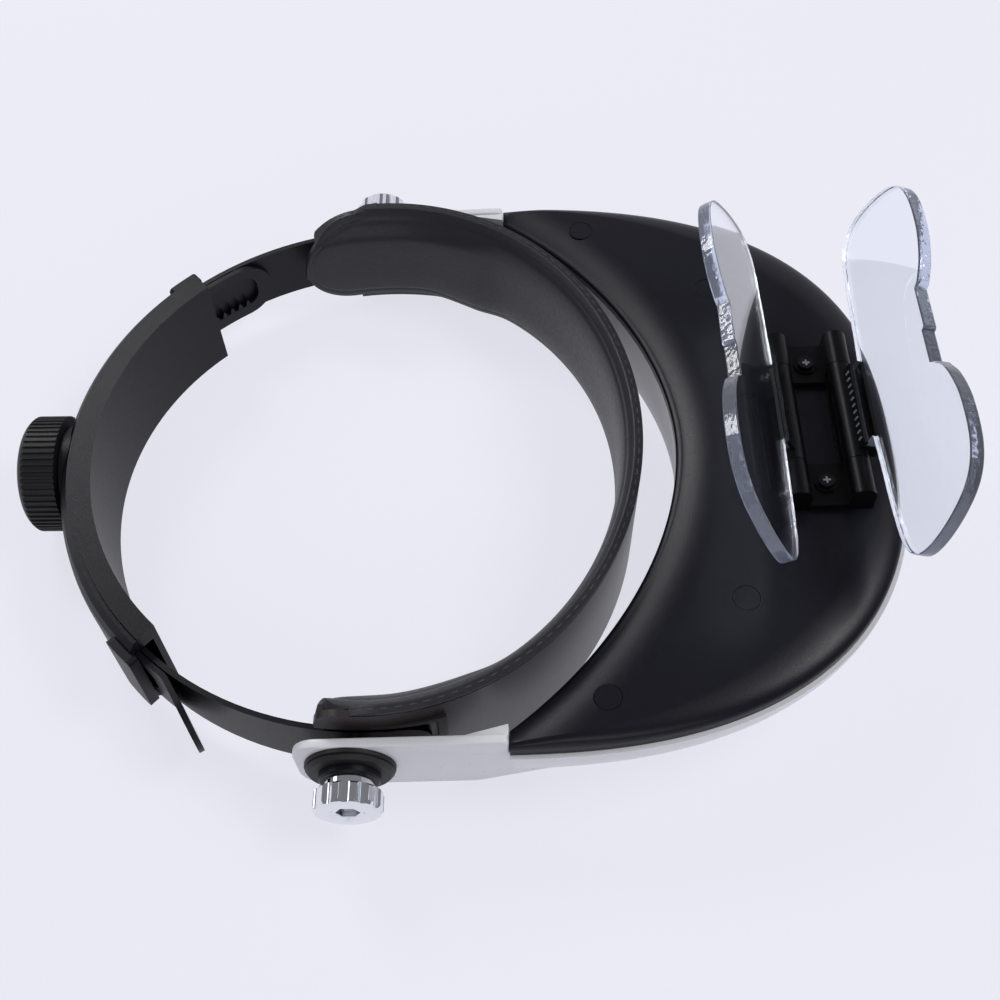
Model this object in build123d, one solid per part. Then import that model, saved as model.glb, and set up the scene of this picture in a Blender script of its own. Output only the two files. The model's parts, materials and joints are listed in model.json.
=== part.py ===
from build123d import *
import os
from math import asin, atan2, cos, degrees, pi, radians, sin, sqrt

# Head visor magnifier, lying upside down: +X points to the front of the visor, +Y across the head, and +Z
# out of the underside of the visor. The headband's top edge and the visor's crown rest on Z = 0.
# All sizes are in millimetres.

# ---- driving dimensions: headband ----
BAND_HALF_WIDTH = 93.0       # outer face of the forehead band, across the head
BAND_DEPTH = 79.3            # outer face of the forehead band, from the ring centre to the forehead
BAND_HEIGHT = 40.6
BAND_WALL = 2.0
BAND_TAIL = 13.0             # how far the band's ears reach behind the ring centre
PAD_WALL = 4.2
PAD_INSET = 2.2              # the pad's lower edge above the band's
PAD_LIP = 1.6                # the pad's border over the band's rim
PAD_TAILS = {"left": 31.5, "right": 15.0}   # the pad's lobes behind the ring centre, fitted off-centre
LOBE_LOW = 7.0               # lower edge of the lobes
SOFT_GAP = 0.3               # between soft pieces and their neighbours

# ---- driving dimensions: size straps and rear housing ----
MECH_Z = 18.4                # height of the knob's axis, and of the middle of the straps
STRAP_HEIGHT = 21.0
STRAP_WALL = 1.6
LAYER_GAP = 0.4              # between the two straps where they overlap
STRAP_OUTSET = 0.6           # middle of the outer strap's thickness, outside the band's outer face
STRAP_NOSE = 21.9            # strap ahead of its pivot
STRAP_SWING = 1.7            # room for the strap's nose as the size changes
TAIL_ANGLE = 62.4            # right strap's tail past the back of the head, in degrees
SPLAY_START = 52.6           # left strap's tail springs outwards from here, in degrees past the back
SPLAY = 22.0                 # by this much, in degrees
SPLAY_BEND = 6.0
SPLAY_LENGTH = 18.5
HOUSING_DEPTH = 7.6          # inner face of the housing, inside the middle of the outer strap
HOUSING_HEIGHT = 35.0
HOUSING_ANGLE = 46.7         # half of the housing's sweep
COVER_WALL = 1.8
SEAM_DEPTH = 1.6             # seam between the housing's halves, inside the middle of the outer strap
SKIN_WALL = 1.7
STRAP_PLAY = 0.45            # radial play of the straps in the housing
COLLAR_ANGLE = 6.5
COLLAR_RISE = 1.4

# ---- driving dimensions: rack, pinion and knob ----
MODULE = 1.0
PINION_TEETH = 10
BACKLASH = 0.64
RACK_END = 4.0               # strap left between the last tooth and the tail
KNOB_R = 18.0
KNOB_LENGTH = 12.3
KNOB_GAP = 0.6               # between the knob and the housing's boss
KNOB_RIBS = 56
RIB_HEIGHT = 0.55
KNOB_ROUND = 5.5
BOSS_R = 15.0
SPINDLE_R = 4.2
RUNNING_GAP = 0.06

# ---- driving dimensions: pivots ----
PIVOT_X = -4.2
PIVOT_Z = 20.7
BOLT_R = 2.9
BOLT_HEAD_R = 6.5
BOLT_HEAD = 1.2
SPACER_R = 5.0
SPACER = 2.0
WASHER_R = 12.4
WASHER = 2.7
COLLAR_R = 8.4
COLLAR = 2.2
NUT_R = 9.5
NUT_LENGTH = 8.8
NUT_FLUTES = 12
NUT_NECK_R = 6.8
NUT_NECK = 2.6

# ---- driving dimensions: visor, in its own level frame before it is tilted ----
VISOR_TILT = 2.3             # nose up, about the pivots
ARM_OUTSET = 5.2             # outer face of the arms, outside the band's outer face
ARM_WALL = 2.7
ARM_TOP = 33.2
ARM_BOTTOM = 6.7
ARM_END = 14.8               # arm behind its pivot
HORN_X = 39.0                # rear ends of the visor
FACE_Z = 32.8                # flat underside
PARTING_Z = 26.3             # joint between the two covers
CROWN_DEPTH = 28.85          # from the joint between the covers to the crown
LIP = 1.2
COVER_SHELL = 2.2
OUTLINE_X = 38.5             # centre of the visor's outline
REACH = 38.7                 # the outline's depth, more than the band's
BULGE = 5.9                  # the outline's half width, more than the band's
OUTER_POWER = 2.5
CREASE_INSETS = (5.8, 2.5)   # border of the flat underside inside the outline, in front and at the sides
CREASE_POWER = 2.22
BROW_GAP = 11.2              # between the band and the visor's inner edge, in front
BROW_X = -44.5               # centre of the inner edge
BROW_BULGE = 30.0            # the inner edge's half width, more than the band's
BROW_POWER = 1.88
WEB_START = 27.5             # inner web that ties each arm to the visor
WEB_STEP = 3.0
PLUG_R = 3.75
PLUG_INSETS = (13.1, 41.5)   # rear and front caps, from the widest line of the outline
REAR_PLUG = 26.4             # rear caps ahead of the horns
FRONT_PLUG = 51.4            # front caps behind the nose of the outline

# ---- driving dimensions: lens bracket and plates ----
BRACKET_INSET = 24.8         # middle of the bracket behind the nose of the outline
AXIS_SPACING = 18.0
AXIS_RISE = 5.8              # hinge axes above the visor's flat underside
BARREL_R = 3.6
BARREL_INNER = 17.6
BARREL_OUTER = 29.5
PIN_R = 1.3
LENS_WALL = 3.9
LENS_ANGLES = {"outer": 72.6, "inner": 118.4}
LENS_OFFSETS = {"outer": 0.9, "inner": -3.1}

OUTER_STRAP_R = BAND_HALF_WIDTH + STRAP_OUTSET
INNER_STRAP_R = OUTER_STRAP_R - STRAP_WALL - LAYER_GAP
STRAP_R = {"left": OUTER_STRAP_R, "right": INNER_STRAP_R}
SIDE = {"left": 1, "right": -1}
POCKET_R = INNER_STRAP_R - STRAP_WALL / 2 - STRAP_SWING
HOUSING_INNER_R = OUTER_STRAP_R - HOUSING_DEPTH
SEAM_R = OUTER_STRAP_R - SEAM_DEPTH
ARM_HALF_WIDTH = BAND_HALF_WIDTH + ARM_OUTSET
ARM_INNER = ARM_HALF_WIDTH - ARM_WALL
OUTER_DEPTH = BAND_DEPTH + REACH
OUTER_WIDTH = BAND_HALF_WIDTH + BULGE
NOSE_X = OUTLINE_X + OUTER_DEPTH
BRACKET_X = NOSE_X - BRACKET_INSET
PLUG_PLACES = ((HORN_X + REAR_PLUG, OUTER_WIDTH - PLUG_INSETS[0]),
               (NOSE_X - FRONT_PLUG, OUTER_WIDTH - PLUG_INSETS[1]))

os.makedirs("parts", exist_ok=True)


def save(name, shape):
    """Write one sub-part, with its name on it."""
    shape.label = name
    export_step(shape, f"parts/{name}.step")


def box(x0, x1, y0, y1, z0, z1):
    """A box from its lowest to its highest corner."""
    return Pos((x0 + x1) / 2, (y0 + y1) / 2, (z0 + z1) / 2) * Box(abs(x1 - x0), abs(y1 - y0), abs(z1 - z0))


def rod(radius, start, end, axis="Y", x=0.0, y=0.0, z=0.0):
    """A cylinder along Y or X between two stations."""
    middle, length = (start + end) / 2, abs(end - start)
    if axis == "Y":
        return Pos(x, middle, z) * Rot(90, 0, 0) * Cylinder(radius, length)
    return Pos(middle, y, z) * Rot(0, 90, 0) * Cylinder(radius, length)


def sector(r_in, r_out, a0, a1, z0, z1):
    """A ring sector about the ring centre, its angles in degrees from +X towards +Y."""
    centre = (0, 0)
    corners = ((r_in, a0), (r_out, a0), (r_in, a1), (r_out, a1))
    spots = [(r * cos(radians(a)), r * sin(radians(a))) for r, a in corners]
    edges = [CenterArc(centre, r_in, a0, a1 - a0), CenterArc(centre, r_out, a0, a1 - a0)]
    edges += [Line(spots[0], spots[1]), Line(spots[2], spots[3])]
    return Pos(0, 0, z0) * extrude(make_face(edges), z1 - z0)


def rounded_rear(x0, x1, z0, z1, corner):
    """A slab across the whole head whose rear corners are rounded, for trimming."""
    half = BAND_HALF_WIDTH + 5
    slab = box(x0, x1, -half, half, z0, z1)
    return fillet(slab.edges().filter_by(Axis.Y).group_by(Axis.X)[0], corner)


# ---------------------------------------------------------------- headband
def band_face(outside, inside, tails):
    """Half-ellipse over the forehead, carried on by arcs round the sides to a square cut at each ear."""
    edges = []
    for depth, width in (outside, inside):
        edges.append(EllipticalCenterArc((0, 0), depth, width, -90, arc_size=180))
        edges.append(CenterArc((0, 0), width, 90, degrees(asin(tails[0] / width))))
        edges.append(CenterArc((0, 0), width, 270, -degrees(asin(tails[1] / width))))
    for side, tail in ((1, tails[0]), (-1, tails[1])):
        ends = [side * sqrt(width**2 - tail**2) for _, width in (outside, inside)]
        edges.append(Line((-tail, ends[0]), (-tail, ends[1])))
    return make_face(edges)


def pocket(r_in, r_out, z0, z1, nose, tail, side):
    """A short curved slab at one pivot, used for the strap pocket and its floor."""
    a0 = degrees(asin(-nose / r_out))
    a1 = degrees(asin(tail / r_out))
    angles = (90 + a0, 90 + a1) if side > 0 else (270 - a1, 270 - a0)
    return sector(r_in, r_out, angles[0], angles[1], z0, z1)


STRAP_LOW = MECH_Z - STRAP_HEIGHT / 2
STRAP_HIGH = MECH_Z + STRAP_HEIGHT / 2
POCKET_LOW = STRAP_LOW - 2.0
POCKET_HIGH = STRAP_HIGH + 3.0
POCKET_NOSE = PIVOT_X + STRAP_NOSE + 2.5
FLOOR_R = POCKET_R - BAND_WALL
# where the bolt's round head meets the curved floor
BOLT_SEAT = sqrt(FLOOR_R**2 - (abs(PIVOT_X) + BOLT_HEAD_R) ** 2)


def make_band():
    """Forehead band with a pocket at each side, where the strap swings between the band and the arm."""
    inner = (BAND_DEPTH - BAND_WALL, BAND_HALF_WIDTH - BAND_WALL)
    band = extrude(band_face((BAND_DEPTH, BAND_HALF_WIDTH), inner, (BAND_TAIL, BAND_TAIL)), BAND_HEIGHT)
    for side in (1, -1):
        frame = pocket(FLOOR_R, BAND_HALF_WIDTH, POCKET_LOW - BAND_WALL, POCKET_HIGH + BAND_WALL,
                       POCKET_NOSE + BAND_WALL, BAND_TAIL, side)
        room = pocket(POCKET_R, BAND_HALF_WIDTH + 2, POCKET_LOW, POCKET_HIGH, POCKET_NOSE,
                      BAND_TAIL + 4, side)
        band = band + frame - room
        band -= rod(BOLT_R + RUNNING_GAP, side * (FLOOR_R - 5), side * (POCKET_R + 1),
                    x=PIVOT_X, z=PIVOT_Z)
    return band & rounded_rear(-BAND_TAIL, BAND_DEPTH + 1, 0, BAND_HEIGHT, 7.0)


def lobe_trim(side, tail, top):
    """Side view of one half of the pad, with a deep round at the back of its lobe and a step up to it."""
    front = BAND_DEPTH + 5
    outline = make_face(Polyline((-tail, LOBE_LOW), (4, LOBE_LOW), (14, PAD_INSET), (front, PAD_INSET),
                                 (front, top), (-tail, top), close=True))
    corners = outline.vertices().sort_by(Axis.X)
    rear = corners[0:2].sort_by(Axis.Y)
    outline = fillet(rear[1], 16.0)
    rear = outline.vertices().filter_by(lambda v: abs(v.X + tail) < 0.01).sort_by(Axis.Y)
    outline = fillet(rear[0], 11.0)
    plane = Plane(origin=(0, 0, 0), x_dir=(1, 0, 0), z_dir=(0, -1, 0))
    return extrude(plane * outline, -side * (BAND_HALF_WIDTH + 5))


def make_pad():
    """Soft forehead pad inside the band, stepped in at the pivots, with a border over the band's rim."""
    out = (BAND_DEPTH - BAND_WALL - SOFT_GAP, BAND_HALF_WIDTH - BAND_WALL - SOFT_GAP)
    inner = (out[0] - PAD_WALL, FLOOR_R - SOFT_GAP - PAD_WALL + 1.2)
    tails = (PAD_TAILS["left"], PAD_TAILS["right"])
    top = BAND_HEIGHT + SOFT_GAP + PAD_LIP
    pad = Pos(0, 0, PAD_INSET) * extrude(band_face(out, inner, tails), top - PAD_INSET)
    lip = band_face((BAND_DEPTH, BAND_HALF_WIDTH), (inner[0] + 2, inner[1] + 2), tails)
    pad += Pos(0, 0, BAND_HEIGHT + SOFT_GAP) * extrude(lip, PAD_LIP)
    for name, side in SIDE.items():
        pad -= pocket(FLOOR_R - SOFT_GAP, BAND_HALF_WIDTH, POCKET_LOW - BAND_WALL - SOFT_GAP,
                      POCKET_HIGH + BAND_WALL + SOFT_GAP, POCKET_NOSE + BAND_WALL + SOFT_GAP,
                      PAD_TAILS[name] + 4, side)
        pad -= rod(BOLT_HEAD_R + SOFT_GAP, side * (BOLT_SEAT - BOLT_HEAD - SOFT_GAP), side * FLOOR_R,
                   x=PIVOT_X, z=PIVOT_Z)
    return pad & (lobe_trim(1, tails[0], top) + lobe_trim(-1, tails[1], top))


# ---------------------------------------------------------------- straps
PITCH_R = MODULE * PINION_TEETH / 2
RACK_PITCH = pi * MODULE
SLOT_HALF = PITCH_R + 1.5 * MODULE


def rack_teeth(radius, reach):
    """How many teeth fit between the back of the head and the strap's tail."""
    return int((radians(reach) * radius - RACK_END) / RACK_PITCH) + 1


def rack_tooth(radius, angle, up):
    """One straight-flanked rack tooth across a strap's thickness, up or down from the slot's edge."""
    half = (RACK_PITCH - BACKLASH) / 4
    root, tip = half + 0.45 * MODULE, half - 0.36 * MODULE
    foot, crest = -1.6 * MODULE, 1.0 * MODULE
    sign = 1 if up else -1
    spot = (radius * cos(radians(angle)), radius * sin(radians(angle)), MECH_Z - sign * PITCH_R)
    tangent = (-sin(radians(angle)), cos(radians(angle)), 0)
    outward = (cos(radians(angle)), sin(radians(angle)), 0)
    plane = Plane(origin=spot, x_dir=tangent, z_dir=outward)
    tall = 1 if plane.y_dir.Z * sign > 0 else -1
    low, high = foot * tall, crest * tall
    shape = Polyline((-root, low), (root, low), (tip, high), (-tip, high), close=True)
    return extrude(plane * make_face(shape), STRAP_WALL / 2 - 0.02, both=True)


def short_edges(solid, length):
    """Straight edges of one length: the corners across a thin curved wall."""
    return solid.edges().filter_by(GeomType.LINE).filter_by(lambda edge: abs(edge.length - length) < 0.01)


def splayed_tail(radius):
    """End of the left strap: a short outward bend and a straight tongue, tangent to the strap's arc."""
    angle = radians(180 + SPLAY_START)
    hub = ((radius + SPLAY_BEND) * cos(angle), (radius + SPLAY_BEND) * sin(angle))
    turn = degrees(angle) + 180
    half = STRAP_WALL / 2
    edges, feet, tips = [], [], []
    last = radians(turn - SPLAY)
    for r in (SPLAY_BEND - half, SPLAY_BEND + half):
        edges.append(CenterArc(hub, r, turn, -SPLAY))
        feet.append((hub[0] + r * cos(radians(turn)), hub[1] + r * sin(radians(turn))))
        start = (hub[0] + r * cos(last), hub[1] + r * sin(last))
        tips.append((start[0] + SPLAY_LENGTH * sin(last), start[1] - SPLAY_LENGTH * cos(last)))
        edges.append(Line(start, tips[-1]))
    edges += [Line(*feet), Line(*tips)]
    return Pos(0, 0, STRAP_LOW) * extrude(make_face(edges), STRAP_HEIGHT)


def make_strap(name):
    """Size strap: one arc from its pivot round the back, with a rack along one edge of its slot."""
    side, radius = SIDE[name], STRAP_R[name]
    nose = degrees(asin((PIVOT_X + STRAP_NOSE) / radius))
    r_in, r_out = radius - STRAP_WALL / 2, radius + STRAP_WALL / 2
    if side > 0:
        strap = sector(r_in, r_out, 90 - nose, 180 + SPLAY_START, STRAP_LOW, STRAP_HIGH)
        strap += splayed_tail(radius)
    else:
        strap = sector(r_in, r_out, 180 - TAIL_ANGLE, 270 + nose, STRAP_LOW, STRAP_HIGH)
    tail = short_edges(strap, STRAP_WALL).sort_by(Axis.X if side < 0 else Axis.Y)[:2]
    strap = fillet(tail, STRAP_HEIGHT / 2 - 0.2)
    strap = fillet(short_edges(strap, STRAP_WALL).sort_by(Axis.X)[-2:], 8.0)
    pitch_angle = degrees(RACK_PITCH / radius)
    teeth = rack_teeth(radius, SPLAY_START if side > 0 else TAIL_ANGLE)
    lead, length = 2.5 * pitch_angle, (teeth - 1) * pitch_angle
    first, last = (180 - lead, 180 + length) if side > 0 else (180 - length, 180 + lead)
    low, high = (SLOT_HALF, PITCH_R + 1.25 * MODULE) if side > 0 else (PITCH_R + 1.25 * MODULE, SLOT_HALF)
    slot = sector(r_in - 1, r_out + 1, first, last, MECH_Z - low, MECH_Z + high)
    strap -= fillet(short_edges(slot, STRAP_WALL + 2).sort_by(Axis.X)[-2:], 5.0)
    for i in range(teeth):
        strap += rack_tooth(radius, 180 + side * (i - 1.5) * pitch_angle, side < 0)
    hole = rod(BOLT_R + 0.4, side * (radius - 4), side * (radius + 4), x=PIVOT_X, z=PIVOT_Z)
    return strap - hole


# ---------------------------------------------------------------- rear housing
CAVITY_OUT = OUTER_STRAP_R + STRAP_WALL / 2 + STRAP_PLAY
SKIN_R = CAVITY_OUT + SKIN_WALL
BOSS_FACE_X = -SKIN_R - 0.15


def ring_profile(points, sweep, start):
    """Revolve a closed (radius, height) outline about the ring centre."""
    axis = Axis.Z
    outline = Polyline(*[(r, z) for r, z in points], close=True)
    face = make_face(Plane.XZ * outline)
    turned = revolve(face.rotate(axis, start), axis, sweep)
    return turned


def cavity(r_in):
    """Space of the straps inside the housing, open at both ends."""
    half = HOUSING_ANGLE + 8
    return sector(r_in, CAVITY_OUT, 180 - half, 180 + half, STRAP_LOW - 0.5, STRAP_HIGH + 0.5)


def make_housing():
    """Outer half of the rear housing: a bulged channel with end collars and the knob's seat."""
    low, high, seam = 0.9, HOUSING_HEIGHT - 0.9, SEAM_R + 0.1
    bulge = [(SEAM_R + 1.4, 0), (SKIN_R - 1.5, 1.9), (SKIN_R - 0.4, 4.4), (SKIN_R, 7.5)]
    profile = [(seam, low)] + [(r, low + up) for r, up in bulge]
    profile += [(r, high - up) for r, up in reversed(bulge)] + [(seam, high)]
    body = ring_profile(profile, 2 * HOUSING_ANGLE, 180 - HOUSING_ANGLE)
    for sign in (1, -1):
        edge = 180 + sign * (HOUSING_ANGLE + 1.5)
        ends = sorted((edge, edge - sign * COLLAR_ANGLE))
        collar = sector(SKIN_R - SKIN_WALL, SKIN_R + COLLAR_RISE, ends[0], ends[1], low + 3.0, high - 3.0)
        corners = collar.edges().filter_by(GeomType.LINE).filter_by(lambda e: e.length < 6)
        body += fillet(corners, 1.4)
    body += rod(BOSS_R, BOSS_FACE_X, -SKIN_R + 4, axis="X", z=MECH_Z)
    body -= cavity(SEAM_R - 5)
    body -= rod(SPINDLE_R + RUNNING_GAP, BOSS_FACE_X - 1, -CAVITY_OUT + 2, axis="X", z=MECH_Z)
    return body


def make_cover():
    """Inner half of the rear housing: a curved plate with a broad rim above and below."""
    block = sector(HOUSING_INNER_R, SEAM_R, 180 - HOUSING_ANGLE, 180 + HOUSING_ANGLE, 0.0, HOUSING_HEIGHT)
    return block - cavity(HOUSING_INNER_R + COVER_WALL)


# ---------------------------------------------------------------- knob and pinion
KNOB_FRONT_X = BOSS_FACE_X - KNOB_GAP
PINION_BACK_X = -CAVITY_OUT + 0.25
PINION_FRONT_X = -(INNER_STRAP_R - STRAP_WALL / 2 - STRAP_PLAY)
SCREW_R = 1.5


def make_pinion():
    """Spur pinion that drives both racks, one tooth pointing straight down."""
    half = (RACK_PITCH - BACKLASH) / 4
    root_r, tip_r = PITCH_R - 1.2 * MODULE, PITCH_R + 0.95 * MODULE
    face = Circle(root_r)
    for i in range(PINION_TEETH):
        tooth = Polyline((root_r - 0.4, -half - 0.3), (root_r - 0.4, half + 0.3), (PITCH_R, half),
                         (tip_r, half - 0.5), (tip_r, -half + 0.5), (PITCH_R, -half), close=True)
        face += Rot(0, 0, 90 + 360 * i / PINION_TEETH) * make_face(tooth)
    face -= Circle(SCREW_R + 0.03)
    length = PINION_FRONT_X - PINION_BACK_X
    plane = Plane(origin=(PINION_BACK_X, 0, MECH_Z), x_dir=(0, 1, 0), z_dir=(1, 0, 0))
    return extrude(plane * face, length)


def make_knob():
    """Ribbed knob with a deep round over its free edge, and the spindle that carries the pinion."""
    core_r = KNOB_R - RIB_HEIGHT
    face = Circle(core_r)
    width = pi * KNOB_R / KNOB_RIBS
    for i in range(KNOB_RIBS):
        rib = Polyline((core_r - 0.3, -width * 0.56), (KNOB_R, -width * 0.24), (KNOB_R, width * 0.24),
                       (core_r - 0.3, width * 0.56), close=True)
        face += Rot(0, 0, 360 * i / KNOB_RIBS) * make_face(rib)
    plane = Plane(origin=(KNOB_FRONT_X, 0, MECH_Z), x_dir=(0, 1, 0), z_dir=(-1, 0, 0))
    body = extrude(plane * face, KNOB_LENGTH)
    envelope = rod(KNOB_R + 1, KNOB_FRONT_X, KNOB_FRONT_X - KNOB_LENGTH, axis="X", z=MECH_Z)
    envelope = fillet(envelope.edges().sort_by(Axis.X)[0], KNOB_ROUND + 1)
    body = body & envelope
    body += rod(SPINDLE_R, KNOB_FRONT_X - 1, PINION_BACK_X, axis="X", z=MECH_Z)
    return body - rod(SCREW_R + 0.03, KNOB_FRONT_X - 6, PINION_BACK_X + 1, axis="X", z=MECH_Z)


def make_knob_screw():
    """Screw that draws the pinion onto the knob's spindle."""
    head = rod(3.0, PINION_FRONT_X, PINION_FRONT_X + 1.2, axis="X", z=MECH_Z)
    return head + rod(SCREW_R, KNOB_FRONT_X - 5, PINION_FRONT_X, axis="X", z=MECH_Z)


# ---------------------------------------------------------------- pivots
WASHER_IN = ARM_HALF_WIDTH + 0.1
WASHER_OUT = WASHER_IN + WASHER
COLLAR_OUT = WASHER_OUT + COLLAR
NUT_IN = COLLAR_OUT + 0.1
NUT_OUT = NUT_IN + NUT_LENGTH


def turned(points, side):
    """Turn a closed (radius, station) outline about a pivot axis, on one side of the head."""
    outline = Polyline(*[(PIVOT_X + r, side * y) for r, y in points], close=True)
    axis = Axis((PIVOT_X, 0, PIVOT_Z), (0, 1, 0))
    return revolve(Pos(0, 0, PIVOT_Z) * make_face(outline), axis, 360)


def make_bolt(side):
    """Pivot bolt with a flat head inside the band."""
    y = BOLT_SEAT
    return turned([(0, y - BOLT_HEAD), (BOLT_HEAD_R - 0.5, y - BOLT_HEAD), (BOLT_HEAD_R, y - 0.6),
                   (BOLT_HEAD_R, y), (BOLT_R, y), (BOLT_R, NUT_OUT - 3.2), (BOLT_R - 0.6, NUT_OUT - 2.6),
                   (0, NUT_OUT - 2.6)], side)


def make_spacer(side):
    """Spacer that takes up the step between the two strap layers, on the strap's free side."""
    start = POCKET_R if side > 0 else ARM_INNER - 0.1 - SPACER
    bore = BOLT_R + RUNNING_GAP
    stop = start + SPACER
    return turned([(bore, start), (SPACER_R, start), (SPACER_R, stop), (bore, stop)], side)


def make_washer(side):
    """Stepped rubber washer with a groove between its two lips."""
    bore = BOLT_R + RUNNING_GAP
    y = WASHER_IN
    groove = WASHER_R - 0.7
    return turned([(bore, y), (WASHER_R, y), (WASHER_R, y + 1.0), (groove, y + 1.25), (groove, y + 1.5),
                   (WASHER_R - 0.3, y + 1.7), (WASHER_R - 1.2, y + WASHER), (bore, y + WASHER)], side)


def make_collar(side):
    """Plain collar between washer and nut."""
    bore = BOLT_R + RUNNING_GAP
    return turned([(bore, WASHER_OUT), (COLLAR_R, WASHER_OUT), (COLLAR_R, COLLAR_OUT - 0.5),
                   (COLLAR_R - 0.5, COLLAR_OUT), (bore, COLLAR_OUT)], side)


def make_nut(side):
    """Thumb nut with rounded flutes and a dished face."""
    face = Circle(NUT_R)
    for i in range(NUT_FLUTES):
        face -= Rot(0, 0, 360 * i / NUT_FLUTES) * Pos(NUT_R + 1.5, 0) * Circle(2.3)
    plane = Plane(origin=(PIVOT_X, side * NUT_IN, PIVOT_Z), x_dir=(1, 0, 0), z_dir=(0, side, 0))
    nut = extrude(plane * face, NUT_LENGTH)
    head = NUT_IN + NUT_NECK
    form = turned([(0, NUT_IN), (NUT_NECK_R, NUT_IN), (NUT_NECK_R, head), (NUT_R - 0.6, head),
                   (NUT_R, head + 0.6), (NUT_R, NUT_OUT - 1.4), (NUT_R - 0.5, NUT_OUT - 0.6),
                   (NUT_R - 1.6, NUT_OUT - 0.2), (5.0, NUT_OUT), (4.0, NUT_OUT - 0.7),
                   (0, NUT_OUT - 0.7)], side)
    nut = nut & form
    nut -= rod(BOLT_R + RUNNING_GAP, side * (NUT_IN - 1), side * NUT_OUT, x=PIVOT_X, z=PIVOT_Z)
    hexagon = plane.offset(NUT_LENGTH - 2.6) * RegularPolygon(3.4, 6)
    return nut - extrude(hexagon, 4)


# ---------------------------------------------------------------- visor
TILT = Pos(PIVOT_X, 0, PIVOT_Z) * Rot(0, -VISOR_TILT, 0) * Pos(-PIVOT_X, 0, -PIVOT_Z)


def tilted(x, z):
    """Where a point of the level visor frame lies once the visor is tilted."""
    angle = radians(VISOR_TILT)
    dx, dz = x - PIVOT_X, z - PIVOT_Z
    return (PIVOT_X + dx * cos(angle) - dz * sin(angle), PIVOT_Z + dx * sin(angle) + dz * cos(angle))


def super_point(centre, depth, width, power, turn):
    """A point of a superellipse: |x/depth|^power + |y/width|^power = 1, at a turn from the front."""
    c, s = cos(radians(turn)), sin(radians(turn))
    sign = 1 if s >= 0 else -1
    return (centre + depth * abs(c) ** (2 / power), sign * width * abs(s) ** (2 / power))


def visor_face(depth, width, power, horn_x, inner_shift=0.0, steps=10):
    """Crescent between the visor's outer superellipse and its concave inner edge, square at the horns."""
    inner_x, inner_power = BROW_X + inner_shift, BROW_POWER
    inner_depth, inner_width = BAND_DEPTH + BROW_GAP - BROW_X, BAND_HALF_WIDTH + BROW_BULGE

    def side_y(centre, d, w, p):
        return w * (1 - ((horn_x - centre) / d) ** p) ** (1 / p)

    def stretch(centre, d, w, p):
        end_y = side_y(centre, d, w, p)
        limit = degrees(atan2((end_y / w) ** (p / 2), ((horn_x - centre) / d) ** (p / 2)))
        turns = [limit * i / steps for i in range(-steps, steps + 1)]
        return [super_point(centre, d, w, p, t) for t in turns]

    outer = stretch(OUTLINE_X, depth, width, power)
    inner = stretch(inner_x, inner_depth, inner_width, inner_power)
    edges = [Spline(*outer), Spline(*inner), Line(outer[0], inner[0]), Line(outer[-1], inner[-1])]
    return make_face(edges)


def layered(sections):
    """Loft level crescents, each given as (height, depth, width, power, horn, inner shift)."""
    faces = [Pos(0, 0, z) * visor_face(depth, width, power, horn, shift)
             for z, depth, width, power, horn, shift in sections]
    return loft(faces, ruled=True)


def dome_section(turn, inset):
    """Level slice of the dome on a quarter ellipse: depth goes as sin, draw-in as 1 - cos of a turn."""
    draw = 1 - cos(radians(turn))
    z = PARTING_Z - (CROWN_DEPTH - inset) * sin(radians(turn))
    depth = OUTER_DEPTH + LIP - inset - 45 * draw
    width = OUTER_WIDTH + LIP - inset - 24 * draw
    return (z, depth, width, OUTER_POWER - 0.25 * draw, HORN_X + inset + 28 * draw, 4 * draw - inset)


def make_top_cover():
    """White outer shell: a deep dome with two flat arms, screw posts inside and a lip round its joint."""
    turns = (0, 22, 42, 60, 76, 90)
    outside = layered([dome_section(turn, 0) for turn in turns])
    mouth, *inside = [dome_section(turn, COVER_SHELL) for turn in turns]
    shell = outside - layered([(mouth[0] + 0.5, *mouth[1:]), *inside])
    for x, y in PLUG_PLACES:
        for side in (1, -1):
            post = Pos(x, side * y, PARTING_Z / 2) * Cylinder(3.4, PARTING_Z)
            shell += post & outside
            shell -= Pos(x, side * y, PARTING_Z - 6) * Cylinder(1.5, 12.2)
    for side in (1, -1):
        arm = Polyline((PIVOT_X - ARM_END, ARM_BOTTOM), (29.5, ARM_BOTTOM), (61.5, 19), (61.5, PARTING_Z),
                       (HORN_X, PARTING_Z), (HORN_X, ARM_TOP), (PIVOT_X - ARM_END, ARM_TOP), close=True)
        plane = Plane(origin=(0, side * ARM_INNER, 0), x_dir=(1, 0, 0), z_dir=(0, -1, 0))
        blade = extrude(plane * make_face(arm), -side * ARM_WALL)
        rear = blade.edges().filter_by(Axis.Y).group_by(Axis.X)[0]
        blade = fillet(rear, 9.0)
        buried, tip = ARM_INNER + 0.5, HORN_X - 0.1
        web = Polyline((WEB_START, side * buried), (WEB_START, side * ARM_INNER),
                       (tip, side * (ARM_INNER - WEB_STEP)), (tip, side * buried), close=True)
        shell += blade + Pos(0, 0, 12) * extrude(make_face(web), FACE_Z - 12)
        shell -= rod(BOLT_R + RUNNING_GAP, side * (ARM_INNER - 1), side * (ARM_HALF_WIDTH + 1),
                     x=PIVOT_X, z=PIVOT_Z)
    return shell


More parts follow.
